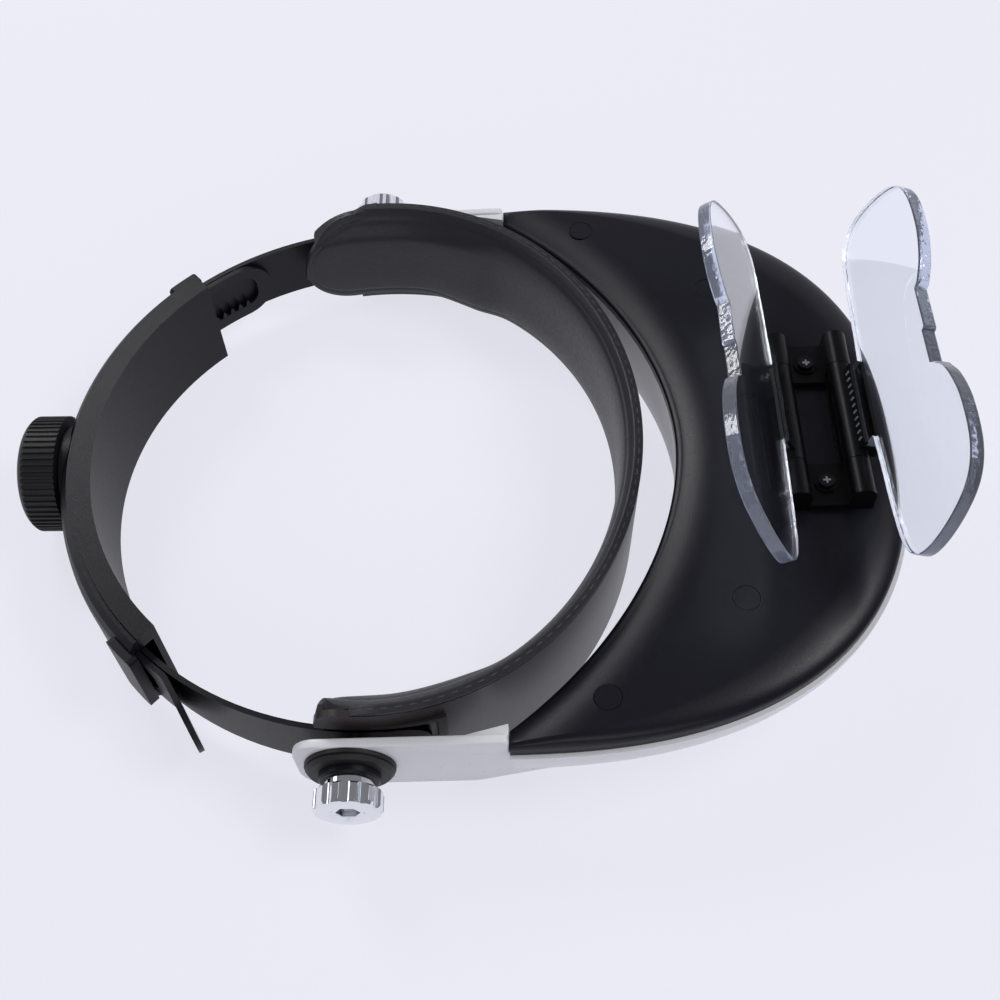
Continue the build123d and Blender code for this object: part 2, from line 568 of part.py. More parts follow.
def make_under_cover():
    """Black under cover: a shallow tray with a sloping border, screw wells and the bracket's holes."""
    face = (OUTER_DEPTH - CREASE_INSETS[0], OUTER_WIDTH - CREASE_INSETS[1], CREASE_POWER)
    skin = [(PARTING_Z, OUTER_DEPTH, OUTER_WIDTH, OUTER_POWER, HORN_X, 0.0),
            (PARTING_Z + 2.6, OUTER_DEPTH, OUTER_WIDTH, OUTER_POWER, HORN_X, 0.0),
            (FACE_Z - 1.7, OUTER_DEPTH - 1.9, OUTER_WIDTH - 0.9, OUTER_POWER - 0.1, HORN_X, 0.2),
            (FACE_Z - 0.4, face[0] + 1.5, face[1] + 0.7, CREASE_POWER + 0.06, HORN_X + 0.3, 1.0),
            (FACE_Z, *face, HORN_X + 1.0, 2.2)]
    t = COVER_SHELL
    room = (face[0] - t - 2, face[1] - t - 1, face[2], HORN_X + t, 2.2 - t)
    tray = layered(skin) - layered([(PARTING_Z - 1, *room), (FACE_Z - t, *room)])
    for x, y in PLUG_PLACES:
        for side in (1, -1):
            spot = Pos(x, side * y, 0)
            boss = spot * Pos(0, 0, (PARTING_Z + FACE_Z) / 2)
            boss *= Cylinder(PLUG_R + 1.6, FACE_Z - PARTING_Z - 0.1)
            tray += boss & layered(skin)
            tray -= spot * Pos(0, 0, FACE_Z - 1.8) * Cylinder(PLUG_R + 0.08, 3.6)
            tray -= spot * Pos(0, 0, PARTING_Z + 1.4) * Cylinder(1.7, 6)
    for side in (1, -1):
        tray -= Pos(BRACKET_X, side * SCREW_Y, FACE_Z - 2) * Cylinder(1.3, 10)
    return tray


SCREW_Y = 21.8
PLUG_DEPTH = 1.3
SCREW_HEAD_Z = FACE_Z - 3.6


def make_plugs():
    """Round caps that close the screw wells."""
    caps = []
    for x, y in PLUG_PLACES:
        for side in (1, -1):
            cap = Pos(x, side * y, FACE_Z - PLUG_DEPTH / 2 - 0.05) * Cylinder(PLUG_R, PLUG_DEPTH)
            caps.append(cap)
    return caps


def make_cover_screws():
    """Self-tapping screws under the caps."""
    screws = []
    for x, y in PLUG_PLACES:
        for side in (1, -1):
            head = Pos(x, side * y, SCREW_HEAD_Z + 0.9) * Cylinder(3.0, 1.8)
            screws.append(head + Pos(x, side * y, SCREW_HEAD_Z - 5.5) * Cylinder(1.45, 11.2))
    return screws


# ---------------------------------------------------------------- lens bracket
AXIS_Z = FACE_Z + AXIS_RISE
AXIS_X = {"outer": BRACKET_X + AXIS_SPACING / 2, "inner": BRACKET_X - AXIS_SPACING / 2}
BASE_WALL = 2.2


def make_bracket():
    """Bracket with four lugs, screwed flat onto the under cover."""
    half_x = AXIS_SPACING / 2 + 1.5
    base = box(BRACKET_X - half_x, BRACKET_X + half_x, -BARREL_OUTER, BARREL_OUTER,
               FACE_Z, FACE_Z + BASE_WALL)
    base = fillet(base.edges().filter_by(Axis.Z), 1.2)
    opening = BARREL_INNER - 2.5
    base -= box(BRACKET_X - 5.0, BRACKET_X + 5.0, -opening, opening, FACE_Z - 1, AXIS_Z)
    for sign in (1, -1):
        near, far = AXIS_SPACING / 2 - 1.0, half_x + 1
        ends = sorted((BRACKET_X + sign * near, BRACKET_X + sign * far))
        base -= box(*ends, -opening, opening, FACE_Z - 1, AXIS_Z)
    for axis_x in AXIS_X.values():
        for side in (1, -1):
            y0, y1 = side * BARREL_INNER, side * BARREL_OUTER
            lug = rod(BARREL_R, y0, y1, x=axis_x, z=AXIS_Z)
            foot = box(axis_x - BARREL_R, axis_x + BARREL_R, *sorted((y0, y1)), FACE_Z, AXIS_Z)
            base += lug + foot
    for side in (1, -1):
        base += Pos(BRACKET_X, side * SCREW_Y, FACE_Z + BASE_WALL) * Cylinder(3.4, 1.2)
        base -= Pos(BRACKET_X, side * SCREW_Y, FACE_Z + 2) * Cylinder(1.3, 8)
    for axis_x in AXIS_X.values():
        base -= rod(PIN_R, -BARREL_OUTER + 1.0, BARREL_OUTER - 1.0, x=axis_x, z=AXIS_Z)
    return base


def make_bracket_screws():
    """Small screws that hold the bracket."""
    screws = []
    for side in (1, -1):
        top = FACE_Z + BASE_WALL + 0.6
        head = Pos(BRACKET_X, side * SCREW_Y, top + 0.55) * Cylinder(2.3, 1.1)
        screws.append(head + Pos(BRACKET_X, side * SCREW_Y, top - 3.6) * Cylinder(1.27, 7.4))
    return screws


def make_pin(name):
    """Hinge pin, held in the lugs."""
    return rod(PIN_R - 0.01, -BARREL_OUTER + 1.05, BARREL_OUTER - 1.05, x=AXIS_X[name], z=AXIS_Z)


LENS_START = 8.5
LENS_TAB = 3.9
CLIP_HALF = 14.5


def lens_plane(name, offset):
    """Plane of a lens plate's face: x runs along the hinge axis, y away from it."""
    angle = radians(LENS_ANGLES[name])
    normal = (sin(angle), 0, -cos(angle))
    shift = LENS_OFFSETS[name] + offset
    origin = (AXIS_X[name] + normal[0] * shift, 0, AXIS_Z + normal[2] * shift)
    return Plane(origin=origin, x_dir=(0, 1, 0), z_dir=normal)


def lens_outline():
    """Two round lobes with a nose notch between them and a square tab on the hinge side."""
    right = [(22, LENS_START + 0.6), (41, 10.2), (53.2, 12.4), (58.7, 18.5), (57.9, 30), (52.6, 42.0),
             (44, 47.6), (30.6, 48.6), (20.4, 46.6), (14.2, 43.4)]
    lobe = Spline(*right, tangents=((1, 0.02), (-1, -0.8)))
    step = [(14.2, 43.4), (12.2, 40.4), (-12.2, 40.4), (-14.2, 43.4)]
    left = Spline(*[(-y, u) for y, u in reversed(right)], tangents=((-1, 0.8), (1, -0.02)))
    low = [(-22, LENS_START + 0.6), (-CLIP_HALF + 0.7, LENS_START), (-CLIP_HALF + 0.7, LENS_TAB),
           (CLIP_HALF - 0.7, LENS_TAB), (CLIP_HALF - 0.7, LENS_START), (22, LENS_START + 0.6)]
    return make_face([lobe, Polyline(*step), left, Polyline(*low)])


def oriented(plane, face):
    """Place a drawing so that its y axis points away from the hinge."""
    up = plane.y_dir.Z > 0
    return plane * (face if up else Rot(0, 0, 180) * face)


def make_lens(name):
    """Clear acrylic plate with a small gate mark on its nose bridge."""
    face = lens_outline() + Pos(6, 40.7) * RectangleRounded(14, 1.8, 0.85)
    return extrude(oriented(lens_plane(name, 0), face), LENS_WALL)


def make_carrier(name):
    """Hinge leaf: a knuckle on the pin and a slotted jaw that grips the lens plate's tab."""
    knuckle = rod(BARREL_R, -BARREL_INNER + 0.25, BARREL_INNER - 0.25, x=AXIS_X[name], z=AXIS_Z)
    jaw_wall = 1.1
    leaf = knuckle
    layers = ((6.0, -jaw_wall, jaw_wall), (7.8, LENS_WALL, jaw_wall), (LENS_TAB, 0, LENS_WALL))
    for reach, height, wall in layers:
        slab = Pos(0, reach / 2) * Rectangle(2 * CLIP_HALF, reach)
        leaf += extrude(oriented(lens_plane(name, height), slab), wall)
    leaf -= make_lens(name)
    return leaf - rod(PIN_R + RUNNING_GAP, -BARREL_INNER, BARREL_INNER, x=AXIS_X[name], z=AXIS_Z)


# ---------------------------------------------------------------- write every sub-part
pieces = {
    "front_band": make_band(),
    "forehead_pad": make_pad(),
    "left_strap": make_strap("left"),
    "right_strap": make_strap("right"),
    "rear_housing": make_housing(),
    "rear_cover": make_cover(),
    "pinion": make_pinion(),
    "ratchet_knob": make_knob(),
    "knob_screw": make_knob_screw(),
    "pivot_bolts": [make_bolt(1), make_bolt(-1)],
    "pivot_spacers": [make_spacer(1), make_spacer(-1)],
    "pivot_washers": [make_washer(1), make_washer(-1)],
    "pivot_collars": [make_collar(1), make_collar(-1)],
    "left_thumb_nut": make_nut(1),
    "right_thumb_nut": make_nut(-1),
    "visor_top_cover": TILT * make_top_cover(),
    "visor_under_cover": TILT * make_under_cover(),
    "screw_plugs": [TILT * cap for cap in make_plugs()],
    "cover_screws": [TILT * screw for screw in make_cover_screws()],
    "hinge_bracket": TILT * make_bracket(),
    "bracket_screws": [TILT * screw for screw in make_bracket_screws()],
}
for lens in ("outer", "inner"):
    pieces[f"{lens}_hinge_pin"] = TILT * make_pin(lens)
    pieces[f"{lens}_lens_carrier"] = TILT * make_carrier(lens)
    pieces[f"{lens}_lens_plate"] = TILT * make_lens(lens)

# The origin goes under the middle of the whole object.
front_x = pieces["visor_top_cover"].bounding_box().max.X
rear_x = pieces["ratchet_knob"].bounding_box().min.X
recentre = Pos(-(front_x + rear_x) / 2, 0, 0)
for name, piece in pieces.items():
    group = isinstance(piece, list)
    save(name, Compound(children=[recentre * one for one in piece]) if group else recentre * piece)
print("ring centre at X", round(-(front_x + rear_x) / 2, 3))
for lens in ("outer", "inner"):
    print(lens, "hinge axis ahead of the ring centre and above Z = 0:", tilted(AXIS_X[lens], AXIS_Z))
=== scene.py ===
"""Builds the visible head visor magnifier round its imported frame.

The object lies upside down on a pale table. +X points to the front of the visor, +Y across the head and +Z
out of the visor's underside. Shapes are worked out in millimetres about the centre of the band's side arcs,
the ring centre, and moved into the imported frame, in metres, by one function.
"""

import json
import math

import bmesh
import bpy
import numpy as np
from mathutils import Matrix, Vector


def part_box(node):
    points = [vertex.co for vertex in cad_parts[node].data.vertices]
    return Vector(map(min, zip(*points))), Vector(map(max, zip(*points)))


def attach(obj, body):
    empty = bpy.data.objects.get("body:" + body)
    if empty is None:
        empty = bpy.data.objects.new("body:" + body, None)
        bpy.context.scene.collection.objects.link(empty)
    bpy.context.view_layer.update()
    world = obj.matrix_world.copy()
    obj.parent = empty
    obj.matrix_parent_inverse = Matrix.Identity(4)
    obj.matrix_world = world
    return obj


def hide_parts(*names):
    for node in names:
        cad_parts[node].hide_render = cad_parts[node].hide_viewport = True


bl_info = {
    "name": "Head Visor Magnifier",
    "version": (1, 0, 0),
    "blender": (4, 5, 0),
    "location": "3D View > Sidebar > Magnifier",
    "description": "Finishes a head-worn visor magnifier round its packed frame",
    "category": "Add Mesh",
}

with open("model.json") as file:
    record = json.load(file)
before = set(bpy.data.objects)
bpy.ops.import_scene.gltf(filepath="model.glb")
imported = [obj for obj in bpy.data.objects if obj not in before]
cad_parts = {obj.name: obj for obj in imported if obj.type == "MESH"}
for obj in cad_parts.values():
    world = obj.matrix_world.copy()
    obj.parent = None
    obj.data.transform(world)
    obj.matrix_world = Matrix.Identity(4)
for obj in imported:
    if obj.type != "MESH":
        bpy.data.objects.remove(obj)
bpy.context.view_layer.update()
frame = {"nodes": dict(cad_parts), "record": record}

MM = 0.001
COVER_REACH = 92.0                       # rear cover's outer radius, from the ring centre
RING_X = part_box("rear_cover")[0].x / MM + COVER_REACH
PIVOT = np.array([-4.2, 0.0, 20.7])      # visor pivot, about the ring centre
TILT = math.radians(2.3)                 # visor's nose-up tilt


# ------------------------------------------------------------------ colours and sizes
def linear(hex_code):
    """sRGB hex to linear RGB: c / 12.92 below 0.04045, else ((c + 0.055) / 1.055) ** 2.4."""
    channels = [int(hex_code[i:i + 2], 16) / 255 for i in (1, 3, 5)]
    return tuple(c / 12.92 if c <= 0.04045 else ((c + 0.055) / 1.055) ** 2.4 for c in channels)


def colour(name, description, hex_code):
    """A colour property with an sRGB default."""
    return bpy.props.FloatVectorProperty(name=name, description=description, subtype="COLOR", size=3,
                                         min=0.0, max=1.0, default=linear(hex_code))


def length(name, description, millimetres):
    """A length property in metres with a default in millimetres."""
    return bpy.props.FloatProperty(name=name, description=description, unit="LENGTH",
                                   default=millimetres * MM)


class MagnifierColours(bpy.types.PropertyGroup):
    """Colours of the magnifier's plastics, leatherette, metals and lenses."""

    visor_black: colour("Visor Black", "Grained black of the visor's under cover", "#12111C")
    visor_white: colour("Visor White", "White of the visor's top cover and arms", "#EBEBF0")
    # the band's own near-black, with a warm brown cast that is a painted reflection of warm surroundings
    band_black_and_warm_reflection: colour("Band Grey", "Satin outer face of the forehead band", "#241E1E")
    pad_black: colour("Pad Black", "Leatherette of the forehead pad", "#1F1E25")
    strap_black: colour("Strap Black", "Toothed size straps", "#131219")
    housing_black: colour("Housing Black", "Rear housing", "#101018")
    knob_black: colour("Knob Black", "Ribbed size knob", "#0D0D11")
    thread_grey: colour("Thread Grey", "Stitching of the pad", "#44444C")
    bracket_black: colour("Bracket Black", "Lens bracket and carriers", "#08080A")
    # painted glint: the grip ribs are light grey for the light they seem to catch, not for their own colour
    rib_glint_grey: colour("Rib Grey", "Bright tops of the carrier's grip ribs", "#8C8C94")
    oxide: colour("Oxide", "Blackened bracket screws", "#2C2C31")
    chrome: colour("Chrome", "Plated thumb nuts", "#E6E8EC")
    steel: colour("Steel", "Bolts, pins and screws", "#B4B5B8")
    rubber: colour("Rubber", "Pivot washers", "#141415")
    lens_tint: colour("Lens Tint", "Clear acrylic lens plates", "#F7FAFF")
    lens_edge: colour("Lens Edge", "Sawn rims of the lens plates", "#DCE4FA")
    floor: colour("Floor", "Table top and backdrop", "#F0F0FA")


class MagnifierSizes(bpy.types.PropertyGroup):
    """Sizes of the magnifier's soft and fine details."""

    pad_crown: length("Pad Crown", "How far the pad swells from its rim", 2.4)
    pad_rim: length("Pad Rim", "Thickness of the pad at its edge", 1.8)
    stitch_pitch: length("Stitch Pitch", "Distance from one stitch to the next", 3.7)
    stitch_length: length("Stitch Length", "Length of one stitch", 2.3)
    lens_thickness: length("Lens Thickness", "Thickness of the lens plates", 3.9)
    lens_round: length("Lens Round", "Polished rounding of the lens plates' rims", 0.35)
    edge_round: length("Edge Round", "Rounding of moulded edges", 0.7)


def sizes():
    """Sizes now set, in metres."""
    return bpy.context.scene.magnifier_sizes


def colours():
    """Colours now set, linear."""
    return bpy.context.scene.magnifier_colours


# ------------------------------------------------------------------ meshes
MERGE_GAP, SLIVER = 0.002, 0.001         # points nearer than one are merged, edges under the other go


def to_frame(points):
    """Ring-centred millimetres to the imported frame's metres: add the ring centre's X, divide by 1000."""
    return (np.asarray(points, float) + [RING_X, 0.0, 0.0]) * MM


def tilt(points):
    """Turn level visor points nose-up about the pivot axis, which lies along Y: x' = x cos t - z sin t,
    z' = x sin t + z cos t, both measured from the pivot."""
    p = np.asarray(points, float) - PIVOT
    c, s = math.cos(TILT), math.sin(TILT)
    return np.stack([p[..., 0] * c - p[..., 2] * s, p[..., 1], p[..., 0] * s + p[..., 2] * c], -1) + PIVOT


def piece(name, points, faces, material, body, sharp, replaces=(), bevel=0.0, bevel_angle=45.0):
    """A finished mesh object: doubles merged, normals outwards, edges bevelled if asked, and edges sharper
    than an angle in degrees kept crisp."""
    mesh = bpy.data.meshes.new(name)
    mesh.from_pydata(to_frame(points).reshape(-1, 3), [], faces)
    work = bmesh.new()
    work.from_mesh(mesh)
    bmesh.ops.remove_doubles(work, verts=work.verts, dist=MERGE_GAP * MM)
    bmesh.ops.dissolve_degenerate(work, edges=work.edges, dist=SLIVER * MM)
    bmesh.ops.recalc_face_normals(work, faces=work.faces)
    work.to_mesh(mesh)
    work.free()
    made = bpy.data.objects.new(name, mesh)
    bpy.context.scene.collection.objects.link(made)
    if bevel:
        rounding = made.modifiers.new("edge round", "BEVEL")
        rounding.width = bevel
        rounding.segments = 3
        rounding.limit_method = "ANGLE"
        rounding.angle_limit = math.radians(bevel_angle)
        rounding.harden_normals = False
        settle(made)
    mesh = made.data
    mesh.shade_smooth()
    mesh.set_sharp_from_angle(angle=math.radians(sharp))
    mesh.materials.append(material)
    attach(made, body)
    if replaces:
        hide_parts(*replaces)
    return made


def settle(made):
    """Apply every modifier of a piece to its mesh."""
    graph = bpy.context.evaluated_depsgraph_get()
    mesh = bpy.data.meshes.new_from_object(made.evaluated_get(graph))
    made.modifiers.clear()
    made.data = mesh


def grid_faces(rows, columns, wrap_columns=False):
    """Quads of a grid of points stored row by row, its last column joined to its first if it wraps."""
    r = np.arange(rows - 1)
    c = np.arange(columns if wrap_columns else columns - 1)
    r, c = (a.ravel() for a in np.meshgrid(r, c, indexing="ij"))
    right = (c + 1) % columns
    quads = np.stack([r * columns + c, r * columns + right,
                      (r + 1) * columns + right, (r + 1) * columns + c], -1)
    return quads.tolist()


def joined(parts):
    """Several pairs of points and faces as one pair."""
    points, faces, start = [], [], 0
    for part_points, part_faces in parts:
        points.append(part_points)
        faces += [[i + start for i in face] for face in part_faces]
        start += len(part_points)
    return np.concatenate(points), faces


def box_surface(shape, counts):
    """Skin of a deformed block: the six faces of the unit cube, each a grid, sent through shape(u, v, w)."""
    sheets = []
    for axis in range(3):
        others = [i for i in range(3) if i != axis]
        a, b = np.meshgrid(*(np.linspace(0, 1, counts[i]) for i in others), indexing="ij")
        for end in (0.0, 1.0):
            uvw = [None] * 3
            uvw[axis] = np.full_like(a, end)
            uvw[others[0]], uvw[others[1]] = a, b
            sheets.append((shape(*uvw).reshape(-1, 3), grid_faces(*a.shape)))
    return joined(sheets)


def rounded_polygon(corners, radii, steps=8):
    """Polygon with each corner replaced by an arc: the arc's centre lies on the corner's bisector at
    radius / sin(half angle), and its ends are radius / tan(half angle) along the two sides."""
    corners = np.asarray(corners, float)
    before = np.roll(corners, 1, 0) - corners
    after = np.roll(corners, -1, 0) - corners
    before /= np.linalg.norm(before, axis=1, keepdims=True)
    after /= np.linalg.norm(after, axis=1, keepdims=True)
    half = np.arccos(np.clip((before * after).sum(1), -1, 1)) / 2
    radii = np.asarray(radii, float)[:, None]
    reach = radii / np.tan(half)[:, None]
    bisector = before + after
    bisector /= np.linalg.norm(bisector, axis=1, keepdims=True)
    centre = corners + bisector * radii / np.sin(half)[:, None]
    first, last = corners + before * reach - centre, corners + after * reach - centre
    sweep = np.pi - 2 * half[:, None, None]
    t = np.linspace(0, 1, steps)[None, :, None]
    arc = (np.sin((1 - t) * sweep) * first[:, None] + np.sin(t * sweep) * last[:, None]) / np.sin(sweep)
    return (centre[:, None] + arc).reshape(-1, 2)


def open_spline(points, per_span):
    """Catmull-Rom curve: each span blends its four nearest points by the cubic basis of tension one half."""
    p = np.asarray(points, float)
    p = np.concatenate([[2 * p[0] - p[1]], p, [2 * p[-1] - p[-2]]])
    t = np.linspace(0, 1, per_span, endpoint=False)[None, :, None]
    a, b, c, d = (p[i:len(p) - 3 + i, None] for i in range(4))
    curve = 0.5 * (2 * b + (c - a) * t + (2 * a - 5 * b + 4 * c - d) * t**2 + (3 * b - a - 3 * c + d) * t**3)
    return np.concatenate([curve.reshape(-1, 2), p[-2:-1]])


def plate(outline, thickness, rounding, place, steps=4):
    """Flat plate: the outline is drawn in by rounding * (1 - cos t) while the height climbs by
    rounding * sin t at each rim. place(x, y, height) puts it in space. Caps are single flat faces."""
    ahead, behind = np.roll(outline, -1, 0), np.roll(outline, 1, 0)
    along = ahead - behind
    along /= np.linalg.norm(along, axis=1, keepdims=True)
    area = 0.5 * np.sum(outline[:, 0] * ahead[:, 1] - ahead[:, 0] * outline[:, 1])
    inward = np.stack([-along[:, 1], along[:, 0]], -1) * np.sign(area)
    t = np.linspace(0, np.pi / 2, steps)
    inset = rounding * (1 - np.cos(t))
    climb = rounding * np.sin(t)
    insets = np.concatenate([inset[::-1], inset])
    heights = np.concatenate([(rounding - climb)[::-1], thickness - rounding + climb])
    rim = outline[None] + inward[None] * insets[:, None, None]
    points = place(rim[..., 0], rim[..., 1], np.broadcast_to(heights[:, None], rim.shape[:2]))
    rows, columns = rim.shape[:2]
    faces = grid_faces(rows, columns, wrap_columns=True)
    faces.append(list(range(columns)))
    faces.append(list(range((rows - 1) * columns, rows * columns)))
    return points.reshape(-1, 3), faces


# ------------------------------------------------------------------ materials
CLOUD_SCALE = 55.0                       # clouds of tone per metre, so each is about 18 mm across
ROUGHNESS_SWING = 0.07                   # how far the grain takes the roughness up and down
ACRYLIC_IOR = 1.49


def add_node(tree, kind, links=(), **settings):
    """Add a node. Settings name its attributes or, where it has none of that name, its inputs; links pair an
    input with the output that feeds it."""
    made = tree.nodes.new(kind)
    for key, value in settings.items():
        if hasattr(made, key):
            setattr(made, key, value)
        else:
            made.inputs[key.replace("_", " ")].default_value = value
    for key, source in links:
        tree.links.new(source, made.inputs[key])
    return made


def new_material(name):
    """An empty node material and its node tree."""
    material = bpy.data.materials.new(name)
    material.use_nodes = True
    material.node_tree.nodes.clear()
    return material, material.node_tree


def rgba(rgb, factor=1.0):
    """A colour as four numbers, its brightness scaled."""
    return (*[min(c * factor, 1.0) for c in rgb], 1.0)


def moulded(name, rgb, roughness, grain_mm, depth_mm, cells=True, tone=0.12, specular=0.5):
    """Moulded, embossed or twisted surface: a grain of a real size, in bent cells or noise, drives bump and
    a little roughness, and broad clouds lighten and darken the colour by a share, its tone."""
    material, tree = new_material(name)
    place = add_node(tree, "ShaderNodeTexCoord").outputs["Object"]
    per_metre = 1 / (grain_mm * MM)
    cloud = add_node(tree, "ShaderNodeTexNoise", [("Vector", place)], Scale=CLOUD_SCALE, Detail=3.0)
    if cells:
        bent = add_node(tree, "ShaderNodeTexNoise", [("Vector", place)], Scale=per_metre * 0.5, Detail=2.0)
        shift = add_node(tree, "ShaderNodeVectorMath", [(0, bent.outputs["Color"])], operation="SCALE",
                         Scale=grain_mm * MM * 0.8)
        spot = add_node(tree, "ShaderNodeVectorMath", [(0, place), (1, shift.outputs[0])], operation="ADD")
        grain = add_node(tree, "ShaderNodeTexVoronoi", [("Vector", spot.outputs[0])], Scale=per_metre,
                         feature="SMOOTH_F1").outputs["Distance"]
    else:
        grain = add_node(tree, "ShaderNodeTexNoise", [("Vector", place)], Scale=per_metre, Detail=4.0,
                         Roughness=0.6).outputs["Fac"]
    rough = add_node(tree, "ShaderNodeMapRange", [("Value", grain)], To_Min=roughness - ROUGHNESS_SWING,
                     To_Max=roughness + ROUGHNESS_SWING)
    paint = add_node(tree, "ShaderNodeMixRGB", [("Fac", cloud.outputs["Fac"])], Color1=rgba(rgb, 1 - tone),
                     Color2=rgba(rgb, 1 + tone))
    bump = add_node(tree, "ShaderNodeBump", [("Height", grain)], Distance=depth_mm * MM, Strength=1.0)
    body = add_node(tree, "ShaderNodeBsdfPrincipled", [("Base Color", paint.outputs["Color"]),
                    ("Roughness", rough.outputs["Result"]), ("Normal", bump.outputs["Normal"])],
                    Specular_IOR_Level=specular)
    add_node(tree, "ShaderNodeOutputMaterial", [("Surface", body.outputs[0])])
    return material


def metal(name, rgb, roughness, mark_mm, mark_depth_mm=0.01):
    """Plated, blackened or machined metal: fine marks, drawn coarse enough to show, drive bump and swing the
    roughness from 0.6 to 1.6 of its value."""
    material, tree = new_material(name)
    place = add_node(tree, "ShaderNodeTexCoord").outputs["Object"]
    marks = add_node(tree, "ShaderNodeTexNoise", [("Vector", place)], Scale=1 / (mark_mm * MM),
                     Detail=5.0).outputs["Fac"]
    rough = add_node(tree, "ShaderNodeMapRange", [("Value", marks)], To_Min=roughness * 0.6,
                     To_Max=roughness * 1.6)
    bump = add_node(tree, "ShaderNodeBump", [("Height", marks)], Distance=mark_depth_mm * MM, Strength=0.5)
    body = add_node(tree, "ShaderNodeBsdfPrincipled", [("Roughness", rough.outputs["Result"]),
                    ("Normal", bump.outputs["Normal"])], Base_Color=rgba(rgb), Metallic=1.0)
    add_node(tree, "ShaderNodeOutputMaterial", [("Surface", body.outputs[0])])
    return material


def clear_acrylic(name, rgb, roughness, clearness, ripple_mm, ripple_depth_mm):
    """Cast acrylic with a ripple on its surface: clear where polished, milky where sawn."""
    material, tree = new_material(name)
    place = add_node(tree, "ShaderNodeTexCoord").outputs["Object"]
    ripple = add_node(tree, "ShaderNodeTexNoise", [("Vector", place)], Scale=1 / (ripple_mm * MM),
                      Detail=1.0)
    bump = add_node(tree, "ShaderNodeBump", [("Height", ripple.outputs["Fac"])], Strength=0.3,
                    Distance=ripple_depth_mm * MM)
    body = add_node(tree, "ShaderNodeBsdfPrincipled", [("Normal", bump.outputs["Normal"])],
                    Base_Color=rgba(rgb), Roughness=roughness, IOR=ACRYLIC_IOR,
                    Transmission_Weight=clearness)
    add_node(tree, "ShaderNodeOutputMaterial", [("Surface", body.outputs[0])])
    return material


# Each finish: its maker, what it is and how it was made, its colour property, and the maker's settings.
# Spark and satin grains are finer than this in life, and are drawn coarse enough to show.
FINISHES = {
    # near-black with a soft, broken sheen
    "black_shell": (moulded, "ABS moulded fine spark grain", "visor_black",
                    dict(roughness=0.36, grain_mm=0.5, depth_mm=0.014, specular=0.24)),
    # clean and glossy, its grain all but unseen
    "white_shell": (moulded, "ABS moulded white gloss", "visor_white",
                    dict(roughness=0.3, grain_mm=1.6, depth_mm=0.006, cells=False, tone=0.02)),
    # smooth satin with blurred highlights; near-black, with a warm brown cast that is a painted reflection
    "band_plastic": (moulded, "PP sheet satin", "band_black_and_warm_reflection",
                     dict(roughness=0.36, grain_mm=0.5, depth_mm=0.01, cells=False, tone=0.1)),
    # soft sheen broken up by small cells
    "pad_leatherette": (moulded, "PU leatherette embossed", "pad_black",
                        dict(roughness=0.46, grain_mm=0.9, depth_mm=0.05, tone=0.1, specular=0.4)),
    # even, dull satin
    "strap_plastic": (moulded, "PP moulded satin", "strap_black",
                      dict(roughness=0.42, grain_mm=0.7, depth_mm=0.02, cells=False, specular=0.22)),
    # dull, with cells that catch small lights
    "housing_plastic": (moulded, "ABS moulded leather grain", "housing_black",
                        dict(roughness=0.45, grain_mm=0.45, depth_mm=0.025, specular=0.22)),
    # matt, so that the ribs show by their shade
    "knob_plastic": (moulded, "ABS moulded matt", "knob_black",
                     dict(roughness=0.55, grain_mm=0.5, depth_mm=0.03, cells=False)),
    # deepest black, with faint lights on its edges
    "bracket_plastic": (moulded, "nylon moulded black", "bracket_black",
                        dict(roughness=0.36, grain_mm=0.6, depth_mm=0.01, cells=False, specular=0.14)),
    # light grey, a painted glint: a bright row on the black carrier, as if the ribs caught the light
    "rib_glint_plastic": (moulded, "nylon moulded ribs", "rib_glint_grey",
                    dict(roughness=0.3, grain_mm=0.6, depth_mm=0.01, cells=False)),
    # dull, without a clear highlight
    "black_rubber": (moulded, "nitrile rubber moulded", "rubber",
                     dict(roughness=0.6, grain_mm=0.8, depth_mm=0.02, cells=False)),
    # dull, a little lighter than the leatherette
    "thread": (moulded, "polyester thread twisted", "thread_grey",
               dict(roughness=0.7, grain_mm=0.4, depth_mm=0.05, cells=False)),
    # dark metal with a grey sheen
    "black_screw": (metal, "steel black oxide", "oxide", dict(roughness=0.34, mark_mm=0.5)),
    # sharp, bright reflections
    "chrome": (metal, "brass chrome plated", "chrome", dict(roughness=0.06, mark_mm=1.2)),
    # grey, with blurred reflections
    "steel": (metal, "steel machined", "steel", dict(roughness=0.3, mark_mm=0.6)),
    # clear, the lamps mirrored in its faces
    "acrylic": (clear_acrylic, "acrylic cast polished", "lens_tint",
                dict(roughness=0.015, clearness=1.0, ripple_mm=16.7, ripple_depth_mm=0.05)),
    # slightly milky, a pale glow along the rims
    "acrylic_edge": (clear_acrylic, "acrylic sawn edge", "lens_edge",
                     dict(roughness=0.09, clearness=0.86, ripple_mm=2.2, ripple_depth_mm=0.5)),
}
MATERIALS = {}


def finish_for(key):
    """The material of one finish, made the first time it is asked for."""
    if key not in MATERIALS:
        maker, name, paint, settings = FINISHES[key]
        MATERIALS[key] = maker(name, getattr(colours(), paint), **settings)
    return MATERIALS[key]


def refinish(*names):
    """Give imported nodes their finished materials, by their record slots."""
    slots = {part["node"]: part["material_slot"] for part in frame["record"]["subparts"]}
    for name in names:
        node = frame["nodes"][name]
        node.data.materials.clear()
        node.data.materials.append(finish_for(slots[name]))


# ------------------------------------------------------------------ stage
CAMERA = {"place": (38.49, -225.91, 344.0), "yaw": -0.4935, "fall": 56.674, "roll": -1.0913, "lens": 45.52}


